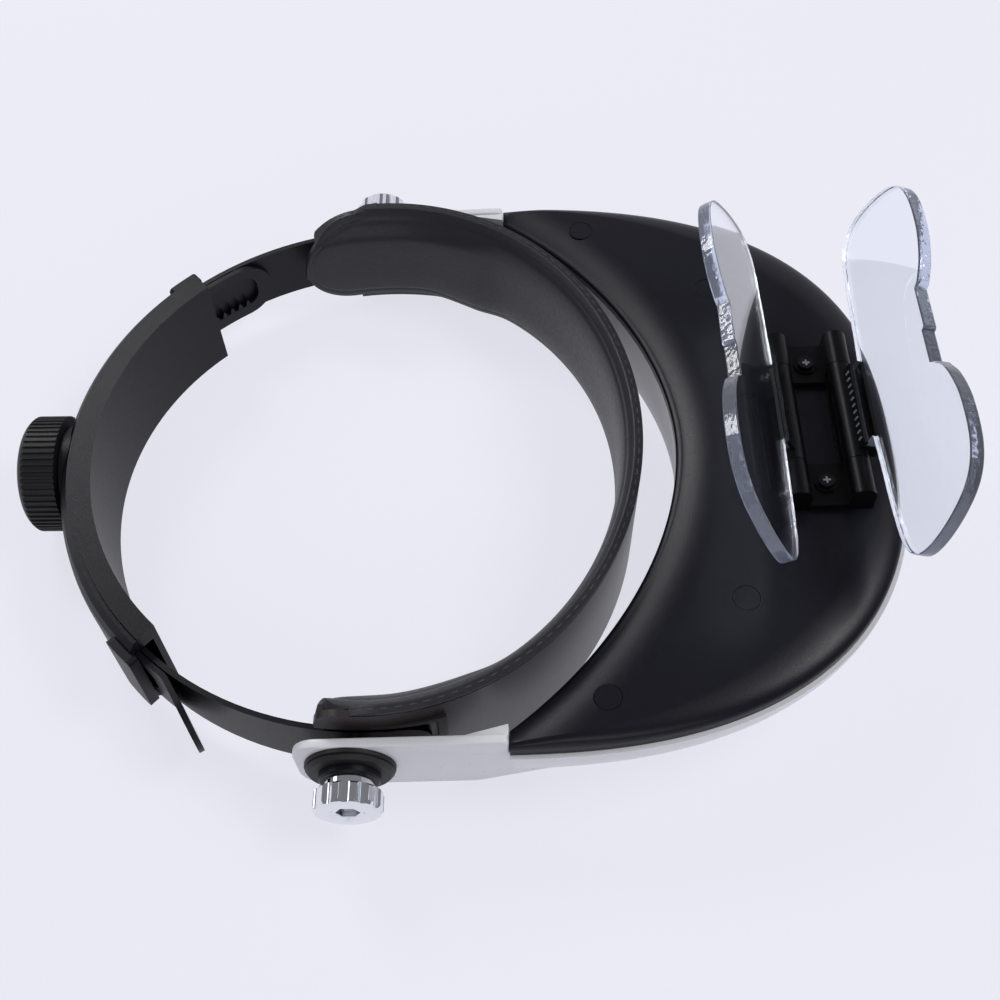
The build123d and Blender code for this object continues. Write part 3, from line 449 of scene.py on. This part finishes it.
def add_camera():
    """Camera from a yaw about Z, a downward tilt and a roll, all in degrees."""
    yaw, fall, roll = (math.radians(CAMERA[k]) for k in ("yaw", "fall", "roll"))
    ahead = np.array([math.sin(yaw) * math.cos(fall), math.cos(yaw) * math.cos(fall), -math.sin(fall)])
    right = np.array([math.cos(yaw), -math.sin(yaw), 0.0])
    up = np.cross(right, ahead)
    turned_right = right * math.cos(roll) + up * math.sin(roll)
    turned_up = -right * math.sin(roll) + up * math.cos(roll)
    data = bpy.data.cameras.new("camera")
    data.lens = CAMERA["lens"]
    data.sensor_width = 36.0
    data.clip_start, data.clip_end = 0.01, 20.0
    camera = bpy.data.objects.new("camera", data)
    matrix = Matrix((turned_right, turned_up, -ahead)).transposed().to_4x4()
    matrix.translation = to_frame(CAMERA["place"])
    camera.matrix_world = matrix
    bpy.context.scene.collection.objects.link(camera)
    bpy.context.scene.camera = camera


def add_lamp(name, place, aim, width, height, power):
    """A soft rectangular lamp at a place, turned to face a point, in metres and watts."""
    data = bpy.data.lights.new(name, "AREA")
    data.shape = "RECTANGLE"
    data.size, data.size_y, data.energy = width, height, power
    lamp = bpy.data.objects.new(name, data)
    direction = np.array(aim, float) - np.array(place, float)
    direction /= np.linalg.norm(direction)
    side = np.cross(direction, [0.0, 0.0, 1.0])
    side /= np.linalg.norm(side)
    matrix = Matrix((side, np.cross(side, direction), -direction)).transposed().to_4x4()
    matrix.translation = place
    lamp.matrix_world = matrix
    bpy.context.scene.collection.objects.link(lamp)


FLOOR_GLOW = 0.8                         # share of the table seen in its own colour, unlit
TABLE_HALF_WIDTH = 3.0                   # along X, in metres as the whole stage is
# The table's Y and Z, flat at first and then swept up into a backdrop.
TABLE_PROFILE = np.array([(-3.0, 0.0), (1.2, 0.0), (1.8, 0.06), (2.2, 0.3), (2.4, 0.8), (2.45, 2.0)])
SKY = (0.93, 0.94, 1.0, 1.0)
SKY_LIGHT, SKY_SEEN = 0.22, 1.05         # its strength as a lamp, and as seen by itself or through a lens
LAMPS = {                                # place, point aimed at, width, height, power in watts
    "overhead": ((0.75, 0.0, 1.05), (0.04, 0.0, 0.02), 0.5, 0.3, 5.5),
    "key": ((-0.46, 0.6, 0.72), (0.0, 0.0, 0.02), 0.3, 0.3, 3.2),
    "side": ((-0.95, 0.1, 0.5), (-0.05, 0.0, 0.02), 0.5, 0.3, 0.9),
    "fill": ((0.1, -1.1, 0.6), (0.0, 0.0, 0.02), 0.8, 0.4, 2.2),
}


def floor_material(rgb):
    """Pale matt table: lit as painted, and lifted towards its own colour where it is seen, straight,
    mirrored or through a lens, so that shadows stay faint."""
    material, tree = new_material("matt paper table")
    sees = add_node(tree, "ShaderNodeLightPath")
    either = add_node(tree, "ShaderNodeMath", [(0, sees.outputs["Is Camera Ray"]),
                      (1, sees.outputs["Is Glossy Ray"])], operation="MAXIMUM")
    any_of = add_node(tree, "ShaderNodeMath", [(0, either.outputs[0]),
                      (1, sees.outputs["Is Transmission Ray"])], operation="MAXIMUM")
    share = add_node(tree, "ShaderNodeMath", [(0, any_of.outputs[0])], operation="MULTIPLY")
    share.inputs[1].default_value = FLOOR_GLOW
    matt = add_node(tree, "ShaderNodeBsdfDiffuse", Color=rgba(rgb))
    glow = add_node(tree, "ShaderNodeEmission", Color=rgba(rgb), Strength=1.0)
    mixed = add_node(tree, "ShaderNodeMixShader", [(0, share.outputs[0]), (1, matt.outputs[0]),
                     (2, glow.outputs[0])])
    add_node(tree, "ShaderNodeOutputMaterial", [("Surface", mixed.outputs[0])])
    return material


def add_table():
    """Table top that sweeps up into a backdrop: its profile carried straight along X."""
    x = np.linspace(-TABLE_HALF_WIDTH, TABLE_HALF_WIDTH, 9)
    points = np.stack(np.broadcast_arrays(x[None], TABLE_PROFILE[:, :1], TABLE_PROFILE[:, 1:]), -1)
    mesh = bpy.data.meshes.new("table")
    mesh.from_pydata(points.reshape(-1, 3), [], grid_faces(*points.shape[:2]))
    mesh.shade_smooth()
    mesh.materials.append(floor_material(colours().floor))
    table = bpy.data.objects.new("table", mesh)
    bpy.context.scene.collection.objects.link(table)


def add_world():
    """Pale world: a weak lamp, but bright where it is seen by itself or through a lens."""
    world = bpy.data.worlds.new("studio")
    bpy.context.scene.world = world
    world.use_nodes = True
    tree = world.node_tree
    tree.nodes.clear()
    sees = add_node(tree, "ShaderNodeLightPath")
    clear = add_node(tree, "ShaderNodeMath", [(0, sees.outputs["Is Camera Ray"]),
                     (1, sees.outputs["Is Transmission Ray"])], operation="MAXIMUM")
    strength = add_node(tree, "ShaderNodeMapRange", [("Value", clear.outputs[0])], To_Min=SKY_LIGHT,
                        To_Max=SKY_SEEN)
    sky = add_node(tree, "ShaderNodeBackground", [("Strength", strength.outputs["Result"])], Color=SKY)
    add_node(tree, "ShaderNodeOutputWorld", [("Surface", sky.outputs[0])])


class MAGNIFIER_OT_stage(bpy.types.Operator):
    """Lay the pale table and set the soft lamps, the world and the camera"""

    bl_idname = "magnifier.stage"
    bl_label = "Stage"

    def execute(self, context):
        context.scene.view_settings.view_transform = "Standard"
        add_table()
        add_world()
        for name, settings in LAMPS.items():
            add_lamp(name, *settings)
        add_camera()
        return {"FINISHED"}


# ------------------------------------------------------------------ visor
PARTING_Z, FACE_Z = 26.3, 32.8           # joint between the covers, and the flat underside
WALL_RISE, WALL_SHARE = 2.5, 0.25        # under cover's upright wall: its height, and its share of w
SHOULDER = math.radians(68)              # turn of the rounded shoulder above that wall
COVER_DROOP, DROOP_REACH = 2.8, 13.0     # roll-off at the inner edge, and the width it takes
DOME_DEPTH = 28.85                       # top cover's depth below the joint
HORN_X = 39.0                            # rear ends of the visor
OUTER_CENTRE, INNER_CENTRE = 38.5, -44.5
INNER = (135.0, 123.0, 1.88)             # concave inner border: depth, half width and power
# Outer border at the joint, and how far it, the inner border's centre and the horns draw in away from there.
UNDER = {"outer": (118.0, 98.9, 2.5), "outer_draw": (4.8, 2.1, 0.5), "inner_draw": 2.2, "horn_draw": 0.8}
TOP = {"outer": (119.2, 100.1, 2.5), "outer_draw": (45.0, 24.0, 0.25), "inner_draw": 4.0, "horn_draw": 28.0}
ARM_Y, ARM_THICKNESS, ARM_ROUND = 95.5, 2.7, 0.6   # arms: inner face, thickness, rounding
ARM_CORNERS = [(-19.0, 6.7), (29.5, 6.7), (64.0, 20.5), (64.0, 26.0), (38.9, 26.0), (38.9, 33.2),
               (-19.0, 33.2)]
ARM_RADII = [9.0, 12.0, 2.0, 1.0, 1.0, 1.5, 7.0]
WEB_CORNERS = np.array([(27.5, 95.8), (27.5, 95.4), (38.9, 92.6), (38.9, 95.8)])
WEB_Z, WEB_HEIGHT, WEB_ROUND = 12.0, 20.6, 0.05    # webs: foot, height, rounding
PLUGS = [(65.4, 85.8), (105.1, 57.4)]    # plugs over the cover's screws, on each side
WELL_RADIUS, WELL_DEPTH = 3.9, 1.5       # round wells that they sit in


def front_arc(u, centre, depth, width, power, stop_x):
    """Front stretch of a superellipse |x / depth|^power + |y / width|^power = 1, cut where x reaches stop_x:
    the turn runs evenly from one cut to the other as u goes from 0 to 1."""
    limit = np.arccos(np.clip((stop_x - centre) / depth, 0, 1) ** (power / 2))
    turn = (2 * u - 1) * limit
    c, s = np.abs(np.cos(turn)), np.sin(turn)
    return centre + depth * c ** (2 / power), width * np.sign(s) * np.abs(s) ** (2 / power)


def crescent(u, v, z, cover, draw):
    """Level crescent with its borders drawn in by a share: v runs from the outer superellipse to the inner,
    concave one."""
    outer = [full - inwards * draw for full, inwards in zip(cover["outer"], cover["outer_draw"])]
    horn_x = HORN_X + cover["horn_draw"] * draw
    ox, oy = front_arc(u, OUTER_CENTRE, *outer, horn_x)
    ix, iy = front_arc(u, INNER_CENTRE + cover["inner_draw"] * draw, *INNER, horn_x)
    return tilt(np.stack([ox + (ix - ox) * v, oy + (iy - oy) * v, z], -1))


def under_cover(u, v, w):
    """Black cover. Its wall is upright up to WALL_SHARE of w; above it, with t running to SHOULDER, the
    height climbs as sin t and the border draws in as 1 - cos t, so that a crease is left round the flat
    face. Near the inner edge the face droops as the square of how near it is."""
    up = np.clip(w / WALL_SHARE, 0, 1)
    t = np.clip((w - WALL_SHARE) / (1 - WALL_SHARE), 0, 1) * SHOULDER
    climb = np.sin(t) / math.sin(SHOULDER)
    draw = (1 - np.cos(t)) / (1 - math.cos(SHOULDER))
    borders = [crescent(u, np.full_like(v, end), 0.0 * u, UNDER, draw) for end in (0, 1)]
    from_inner = (1 - v) * np.linalg.norm(borders[1] - borders[0], axis=-1)
    droop = COVER_DROOP * np.clip(1 - from_inner / DROOP_REACH, 0, 1) ** 2
    z = PARTING_Z + WALL_RISE * up + (FACE_Z - PARTING_Z - WALL_RISE - droop) * climb
    return crescent(u, v, z, UNDER, draw)


def top_cover(u, v, w):
    """White dome: with t running to a quarter turn, the depth grows as sin t and the border draws in as
    1 - cos t, far at the front and behind the horns."""
    t = w * np.pi / 2
    return crescent(u, v, PARTING_Z - DOME_DEPTH * np.sin(t), TOP, 1 - np.cos(t))


def arms():
    """Both arms, each a rounded plate beside the head, and the upright webs that tie them to the dome."""
    outline = rounded_polygon(ARM_CORNERS, ARM_RADII)
    made = []
    for side in (1, -1):
        def beside(x, z, height, side=side):
            return tilt(np.stack([x, side * (ARM_Y + height), z], -1))

        def upright(x, y, height, side=side):
            return tilt(np.stack([x, side * y, WEB_Z + height], -1))
        made.append(plate(outline, ARM_THICKNESS, ARM_ROUND, beside))
        made.append(plate(WEB_CORNERS, WEB_HEIGHT, WEB_ROUND, upright))
    return made


def sink_wells(cover):
    """Cut the four round wells that the plugs sit in."""
    cutters = bmesh.new()
    for x, y in PLUGS:
        for side in (1, -1):
            base = to_frame(tilt(np.array([x, side * y, FACE_Z])))
            turn = Matrix.Rotation(-TILT, 4, "Y")
            bmesh.ops.create_cone(cutters, cap_ends=True, segments=48, radius1=WELL_RADIUS * MM,
                                  radius2=WELL_RADIUS * MM, depth=2 * WELL_DEPTH * MM,
                                  matrix=Matrix.Translation(base) @ turn)
    mesh = bpy.data.meshes.new("well cutter")
    cutters.to_mesh(mesh)
    cutters.free()
    cutter = bpy.data.objects.new("well cutter", mesh)
    bpy.context.scene.collection.objects.link(cutter)
    cut = cover.modifiers.new("wells", "BOOLEAN")
    cut.operation, cut.solver, cut.object = "DIFFERENCE", "EXACT", cutter
    settle(cover)
    bpy.data.objects.remove(cutter)


class MAGNIFIER_OT_visor(bpy.types.Operator):
    """Make the visor's white top cover with its arms and the grained black under cover"""

    bl_idname = "magnifier.visor"
    bl_label = "Visor"

    def execute(self, context):
        points, faces = joined([box_surface(top_cover, (121, 9, 19)), *arms()])
        piece("visor_dome", points, faces, finish_for("white_shell"), "visor",
              replaces=["visor_top_cover"], sharp=40)
        points, faces = box_surface(under_cover, (161, 49, 17))
        cover = piece("visor_face", points, faces, finish_for("black_shell"), "visor",
                      replaces=["visor_under_cover"], sharp=19, bevel=sizes().edge_round)
        sink_wells(cover)
        refinish("screw_plugs", "cover_screws")
        return {"FINISHED"}


# ------------------------------------------------------------------ headband and pad
BAND_HALF_WIDTH = 93.0                   # outer face of the forehead band
LINER = (77.0, 90.7)                     # back of the liner: depth and half width
# Each lobe's reach behind the ring centre, and the radii of its top and lower corners.
LOBES = {"left": (31.5, 22.0, 17.0), "right": (15.0, 20.0, 12.0)}
PATH_BUNCHING, CLIMB_BUNCHING = 0.6, 0.55          # how much closer points lie at the ends, and the edges
LINER_TOP, LINER_LOW = 42.4, 2.3         # its upper edge, and its lower edge at the front
LOW_CLIMB, CLIMB_X, CLIMB_RUN = 4.9, 36.0, 26.0    # how far the lower edge climbs, from where, over what run
LEAST_HEIGHT = 0.6                       # height left where a lobe comes to its end
FLOOR_R = 86.8                           # back of the liner over the strap pockets
BACK_STEP, FACE_STEP = (27.5, 4.5), (44.0, 14.0)   # where the back and the face step in, over what run
BACK_STEP_TOP, FACE_STEP_TOP = 35.2, 43.0          # heights at which those steps end
FACE_STEP_FADE = 10.0                    # height over which the face's step dies out below there
RIM_Z, RIM_BLEND = 40.9, 0.2             # underside of the border on the band's rim, and its rounding
LIP_X, LIP_RUN = -12.0, 5.0              # where that border starts, and the run over which it grows
LIP_FADE, LIP_THINNING = 2.2, 0.9        # how far below the top it thins the pad's edge, and by what share
CROWN_FADE = 6.0                         # how slowly the crown sinks towards a lobe's end
REAR_THINNING = 0.45                     # share of the crown that is lost towards the rear
THIN_X, THIN_RUN = 30.0, 24.0            # where that starts, and over what run
GROOVE_DEPTH, GROOVE_INSET, GROOVE_WIDTH = 0.25, 2.8, 0.5
STITCH_RADIUS, STITCH_SINK = 0.2, 0.02   # a stitch's thickest, and its middle's depth below the top
TIP_SHARE = 0.004                        # least square of a stitch's radius at its tips, as a share
STITCH_INSET, STITCH_LIP = 1.0, 2.1      # seam in from the liner's back, and how far the lip carries it out
SEAM_STOP = 9.0                          # distance from a lobe's end at which the seam stops
PATH_POINTS = 4000                       # points at which the seam's length is summed
STATIONS, SIDES = 7, 8                   # rings of points along a stitch, and points on each


def liner_path(u):
    """Back of the liner: half an ellipse ahead of the ring centre, carried on by circular arcs behind it.
    The angle runs from the right lobe's end to the left one's, closer spaced at both. Gives points and
    outward normals."""
    depth, width = LINER
    first = -np.pi / 2 - math.asin(LOBES["right"][0] / width)
    last = np.pi / 2 + math.asin(LOBES["left"][0] / width)
    a = first + (last - first) * (u - PATH_BUNCHING * np.sin(2 * np.pi * u) / (2 * np.pi))
    reach = np.where(np.abs(a) > np.pi / 2, width, depth)
    x, y = reach * np.cos(a), width * np.sin(a)
    nx, ny = np.cos(a) * width, np.sin(a) * reach
    size = np.hypot(nx, ny)
    return x, y, nx / size, ny / size


def smooth(t):
    """Cubic blend from 0 to 1: 3 t^2 - 2 t^3."""
    t = np.clip(t, 0, 1)
    return t * t * (3 - 2 * t)


def liner_edges(x, y):
    """Lower and upper edge of the liner and the distance to its end. The lobes end in quarter circles of
    radius r: z = r - sqrt(r^2 - (r - e)^2) at a distance e from the end."""
    reach, over, under = (np.where(y > 0, left, right) for left, right in zip(LOBES["left"], LOBES["right"]))
    end = x + reach
    near_top, near_low = np.clip(over - end, 0, over), np.clip(under - end, 0, under)
    top = LINER_TOP - over + np.sqrt(over**2 - near_top**2)
    low = LINER_LOW + LOW_CLIMB * smooth((CLIMB_X - x) / CLIMB_RUN) + under - np.sqrt(under**2 - near_low**2)
    return np.minimum(low, top - LEAST_HEIGHT), top, end


def liner_step(x, y, start, blend):
    """How far the liner steps inwards over a strap pocket: from its own line to the circle of the pocket's
    floor, blended in from start over a length."""
    floor_y = np.sqrt(np.maximum(FLOOR_R**2 - x**2, 0))
    return np.maximum(np.abs(y) - floor_y, 0) * smooth((start - x) / blend)


def forehead_pad(u, v, w):
    """Padded liner: w crosses it from its back to its crowned face, v climbs it, closer spaced at both
    edges. The crown is (1 - |h|^4)(1 - exp(-e / CROWN_FADE)) over height h and distance e to the end, with
    a stitched groove round it, and a border reaches out over the band's rim."""
    x, y, nx, ny = liner_path(u)
    low, top, end = liner_edges(x, y)
    rise = v - CLIMB_BUNCHING * np.sin(2 * np.pi * v) / (2 * np.pi)
    z = low + (top - low) * rise
    lip = smooth((x - LIP_X) / LIP_RUN)
    border = (BAND_HALF_WIDTH - LINER[1]) * smooth((z - RIM_Z + RIM_BLEND / 2) / RIM_BLEND) * lip
    back = liner_step(x, y, *BACK_STEP) * smooth(BACK_STEP_TOP - z) - border
    crown = (1 - np.abs(2 * rise - 1) ** 4) * (1 - np.exp(-end / CROWN_FADE))
    edge = np.minimum(np.minimum(top - z, z - low), end)
    groove = GROOVE_DEPTH * np.exp(-((edge - GROOVE_INSET) / GROOVE_WIDTH) ** 2)
    swell = sizes().pad_crown / MM * (1 - REAR_THINNING * smooth((THIN_X - x) / THIN_RUN))
    rim = sizes().pad_rim / MM * (1 - LIP_THINNING * lip * np.exp(-(top - z) / LIP_FADE))
    step = liner_step(x, y, *FACE_STEP) * smooth((FACE_STEP_TOP - z) / FACE_STEP_FADE)
    inset = back + (step + rim + swell * crown - groove - back) * w
    return np.stack([x - nx * inset, y - ny * inset, z], -1)


def stitches():
    """Short rounded stitches along the border's top: each is a stretched ball, a ring of points per station,
    whose radius follows sqrt(1 - a^2) along its length a from -1 to 1."""
    pitch, dash = sizes().stitch_pitch / MM, sizes().stitch_length / MM
    x, y, nx, ny = liner_path(np.linspace(0.0, 1.0, PATH_POINTS))
    top, end = liner_edges(x, y)[1:]
    keep = end > SEAM_STOP
    x, y, nx, ny, top = (q[keep] for q in (x, y, nx, ny, top))
    run = np.concatenate([[0], np.cumsum(np.sqrt(np.diff(x)**2 + np.diff(y)**2 + np.diff(top)**2))])
    count = int(run[-1] / pitch)
    middle = (np.arange(count) + 0.5) * pitch
    along = np.linspace(-0.5, 0.5, STATIONS)
    where = middle[:, None] + along[None] * dash
    px, py, pz, qx, qy = (np.interp(where, run, q) for q in (x, y, top, nx, ny))
    inset = STITCH_INSET - STITCH_LIP * smooth((px - LIP_X) / LIP_RUN)
    centre = np.stack([px - qx * inset, py - qy * inset, pz - STITCH_SINK], -1)
    turn = np.linspace(0, 2 * np.pi, SIDES, endpoint=False)[None, None, :, None]
    radius = STITCH_RADIUS * np.sqrt(np.maximum(1 - (2 * along) ** 2, TIP_SHARE))[None, :, None, None]
    out = np.stack([qx, qy, np.zeros_like(qx)], -1)
    ring = centre[:, :, None] + radius * (np.cos(turn) * out[:, :, None]
                                          + np.sin(turn) * np.array([0, 0, 1.0]))
    ball = grid_faces(STATIONS, SIDES, wrap_columns=True)
    ball += [list(range(SIDES))[::-1], list(range((STATIONS - 1) * SIDES, STATIONS * SIDES))]
    return joined([(points.reshape(-1, 3), ball) for points in ring])


class MAGNIFIER_OT_headband(bpy.types.Operator):
    """Finish the forehead band and make its padded leatherette liner with stitching"""

    bl_idname = "magnifier.headband"
    bl_label = "Headband"

    def execute(self, context):
        refinish("front_band", "pivot_bolts", "pivot_spacers", "pivot_washers", "pivot_collars",
                 "left_thumb_nut", "right_thumb_nut")
        points, faces = box_surface(forehead_pad, (261, 61, 9))
        pad = piece("forehead_liner", points, faces, finish_for("pad_leatherette"), "headband",
                    replaces=["forehead_pad"], sharp=75, bevel=sizes().edge_round,
                    bevel_angle=60)
        points, faces = stitches()
        piece("liner_stitching", points, faces, finish_for("thread"), "headband",
              sharp=180)
        return {"FINISHED"}


# ------------------------------------------------------------------ rear housing, straps and knob
class MAGNIFIER_OT_adjuster(bpy.types.Operator):
    """Finish the size straps, the rear housing and the knob with its pinion"""

    bl_idname = "magnifier.adjuster"
    bl_label = "Size Adjuster"

    def execute(self, context):
        refinish("left_strap", "right_strap", "rear_housing", "rear_cover", "pinion", "ratchet_knob",
                 "knob_screw")
        return {"FINISHED"}


# ------------------------------------------------------------------ bracket and lens plates
AXIS_Z = 38.6                            # height of both hinge axes
AXES = {"outer": (140.7, 72.6, 0.9), "inner": (122.7, 118.4, -3.1)}    # hinge X, lean in degrees, offset
JAW_WALL = 1.1                           # carrier's wall in front of the lens plate
RIBS, RIB_PITCH = 11, 2.4
RIB_CORNERS = np.array([(-0.3, 1.6), (0.3, 1.6), (0.3, 5.2), (-0.3, 5.2)])
RIB_HEIGHT, RIB_ROUND = 0.3, 0.12
RIM_SIDES = 9                            # faces of a lens plate with fewer corners are its rim
SCREW_HEAD_R = 2.4
CROSS_LONG, CROSS_WIDE = 1.1, 0.28       # half length and half width of a bar of the screws' crosses, bright bars that are a painted glint
CROSS_DEPTH, CROSS_ROUND = 0.25, 0.08
# Lens outline about the hinge axis, across and up: one lobe, the notch between the lobes, and the tab.
LOBE = [(22, 9.1), (41, 10.2), (53.2, 12.4), (58.7, 18.5), (57.9, 30), (52.6, 42.0), (44, 47.6),
        (30.6, 48.6), (20.4, 46.6), (14.2, 43.4)]
NOTCH = [(13.0, 41.6), (-0.3, 41.6), (-1.0, 41.0), (-1.0, 40.4), (-12.2, 40.4)]
TAB = [(-13.8, 8.5), (-13.8, 3.9), (13.8, 3.9), (13.8, 8.5)]


def on_lens(name, start=0.0, facing=1):
    """Placing rule for a lens plate's plane: y runs across the head, u up from the hinge axis and the height
    along the plane's normal, or against it where facing is -1, from a start beyond the plate's offset."""
    axis_x, lean, offset = AXES[name]
    angle = math.radians(lean)
    across = np.array([0.0, 1.0, 0.0])
    up = np.array([math.cos(angle), 0.0, math.sin(angle)])
    normal = np.array([math.sin(angle), 0.0, -math.cos(angle)])
    origin = np.array([axis_x, 0.0, AXIS_Z]) + normal * (offset + start)

    def place(y, u, height):
        return tilt(origin + y[..., None] * across + u[..., None] * up + facing * height[..., None] * normal)
    return place


def jaw_ribs():
    """Row of fine upright grip ribs on the outer carrier's jaw, spaced evenly about its middle."""
    place = on_lens("outer", start=-JAW_WALL, facing=-1)
    return joined([plate(RIB_CORNERS + [RIB_PITCH * (k - RIBS // 2), 0.0], RIB_HEIGHT, RIB_ROUND, place)
                   for k in range(RIBS)])


def screw_cross_glints():
    """Crossed bars of bright steel that lie flush in the heads of the two bracket screws, which stand at the
    ends of the screws' box: a painted glint for the light in the heads' cross recesses."""
    low, high = (np.array(corner) / MM - [RING_X, 0, 0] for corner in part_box("bracket_screws"))
    made = []
    for y in (low[1] + SCREW_HEAD_R, high[1] - SCREW_HEAD_R):
        def place(a, b, height, y=y):
            return np.stack([(low[0] + high[0]) / 2 + a, y + b, high[2] - CROSS_DEPTH + height], -1)
        for x_reach, y_reach in ((CROSS_LONG, CROSS_WIDE), (CROSS_WIDE, CROSS_LONG)):
            bar = np.array([(-1, -1), (1, -1), (1, 1), (-1, 1)]) * [x_reach, y_reach]
            made.append(plate(bar, CROSS_DEPTH, CROSS_ROUND, place))
    return joined(made)


class MAGNIFIER_OT_bracket(bpy.types.Operator):
    """Finish the lens bracket, its screws, hinge pins and carriers, and add grip ribs and screw crosses,
    both pale as painted glints
    """

    bl_idname = "magnifier.bracket"
    bl_label = "Lens Bracket"

    def execute(self, context):
        refinish("hinge_bracket", "bracket_screws", "inner_hinge_pin", "outer_hinge_pin",
                 "inner_lens_carrier", "outer_lens_carrier")
        points, faces = jaw_ribs()
        # grip ribs in light grey, a painted glint on the black carrier
        piece("carrier_grip_ribs", points, faces, finish_for("rib_glint_plastic"), "outer_lens",
              sharp=30)
        points, faces = screw_cross_glints()
        # bright steel crosses in the dark screw heads: painted glints of the cross recesses
        piece("screw_recess_glint", points, faces, finish_for("steel"), "visor", sharp=30)
        return {"FINISHED"}


def lens_outline():
    """Two lobes with a flat notch and its gate mark between them, and a square tab at the hinge."""
    lobe = open_spline(LOBE, 16)
    return np.concatenate([lobe, NOTCH, lobe[::-1] * [-1, 1], TAB])


def frost_rim(lens):
    """Give a lens plate's rim, all of its faces but the two many-sided caps, the sawn finish."""
    lens.data.materials.append(finish_for("acrylic_edge"))
    rim = [len(face.vertices) < RIM_SIDES for face in lens.data.polygons]
    lens.data.polygons.foreach_set("material_index", np.array(rim, int))


class MAGNIFIER_OT_lenses(bpy.types.Operator):
    """Make the two clear acrylic lens plates with their rims"""

    bl_idname = "magnifier.lenses"
    bl_label = "Lens Plates"

    def execute(self, context):
        thickness, rounding = sizes().lens_thickness / MM, sizes().lens_round / MM
        for name in AXES:
            points, faces = plate(lens_outline(), thickness, rounding, on_lens(name), steps=3)
            lens = piece(f"{name}_lens", points, faces, finish_for("acrylic"), f"{name}_lens",
                         replaces=[f"{name}_lens_plate"], sharp=20)
            frost_rim(lens)
        return {"FINISHED"}


class MAGNIFIER_PT_panel(bpy.types.Panel):
    """Sidebar panel that lists the pieces, sizes and colours"""

    bl_label = "Head Visor Magnifier"
    bl_idname = "MAGNIFIER_PT_panel"
    bl_space_type = "VIEW_3D"
    bl_region_type = "UI"
    bl_category = "Magnifier"

    def draw(self, context):
        for operator in OPERATORS:
            self.layout.operator(operator.bl_idname)
        for group in (context.scene.magnifier_sizes, context.scene.magnifier_colours):
            for key in group.__annotations__:
                self.layout.prop(group, key)


OPERATORS = (MAGNIFIER_OT_stage, MAGNIFIER_OT_visor, MAGNIFIER_OT_headband, MAGNIFIER_OT_adjuster,
             MAGNIFIER_OT_bracket, MAGNIFIER_OT_lenses)
CLASSES = (MagnifierColours, MagnifierSizes, *OPERATORS, MAGNIFIER_PT_panel)


def register():
    """Register the classes and hang the settings on the scene."""
    for cls in CLASSES:
        bpy.utils.register_class(cls)
    bpy.types.Scene.magnifier_sizes = bpy.props.PointerProperty(type=MagnifierSizes)
    bpy.types.Scene.magnifier_colours = bpy.props.PointerProperty(type=MagnifierColours)


def unregister():
    """Take the settings and classes away again."""
    del bpy.types.Scene.magnifier_colours
    del bpy.types.Scene.magnifier_sizes
    for cls in reversed(CLASSES):
        bpy.utils.unregister_class(cls)


def main():
    """Register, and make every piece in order."""
    register()
    bpy.ops.magnifier.stage()
    bpy.ops.magnifier.visor()
    bpy.ops.magnifier.headband()
    bpy.ops.magnifier.adjuster()
    bpy.ops.magnifier.bracket()
    bpy.ops.magnifier.lenses()


if __name__ == "__main__":
    main()
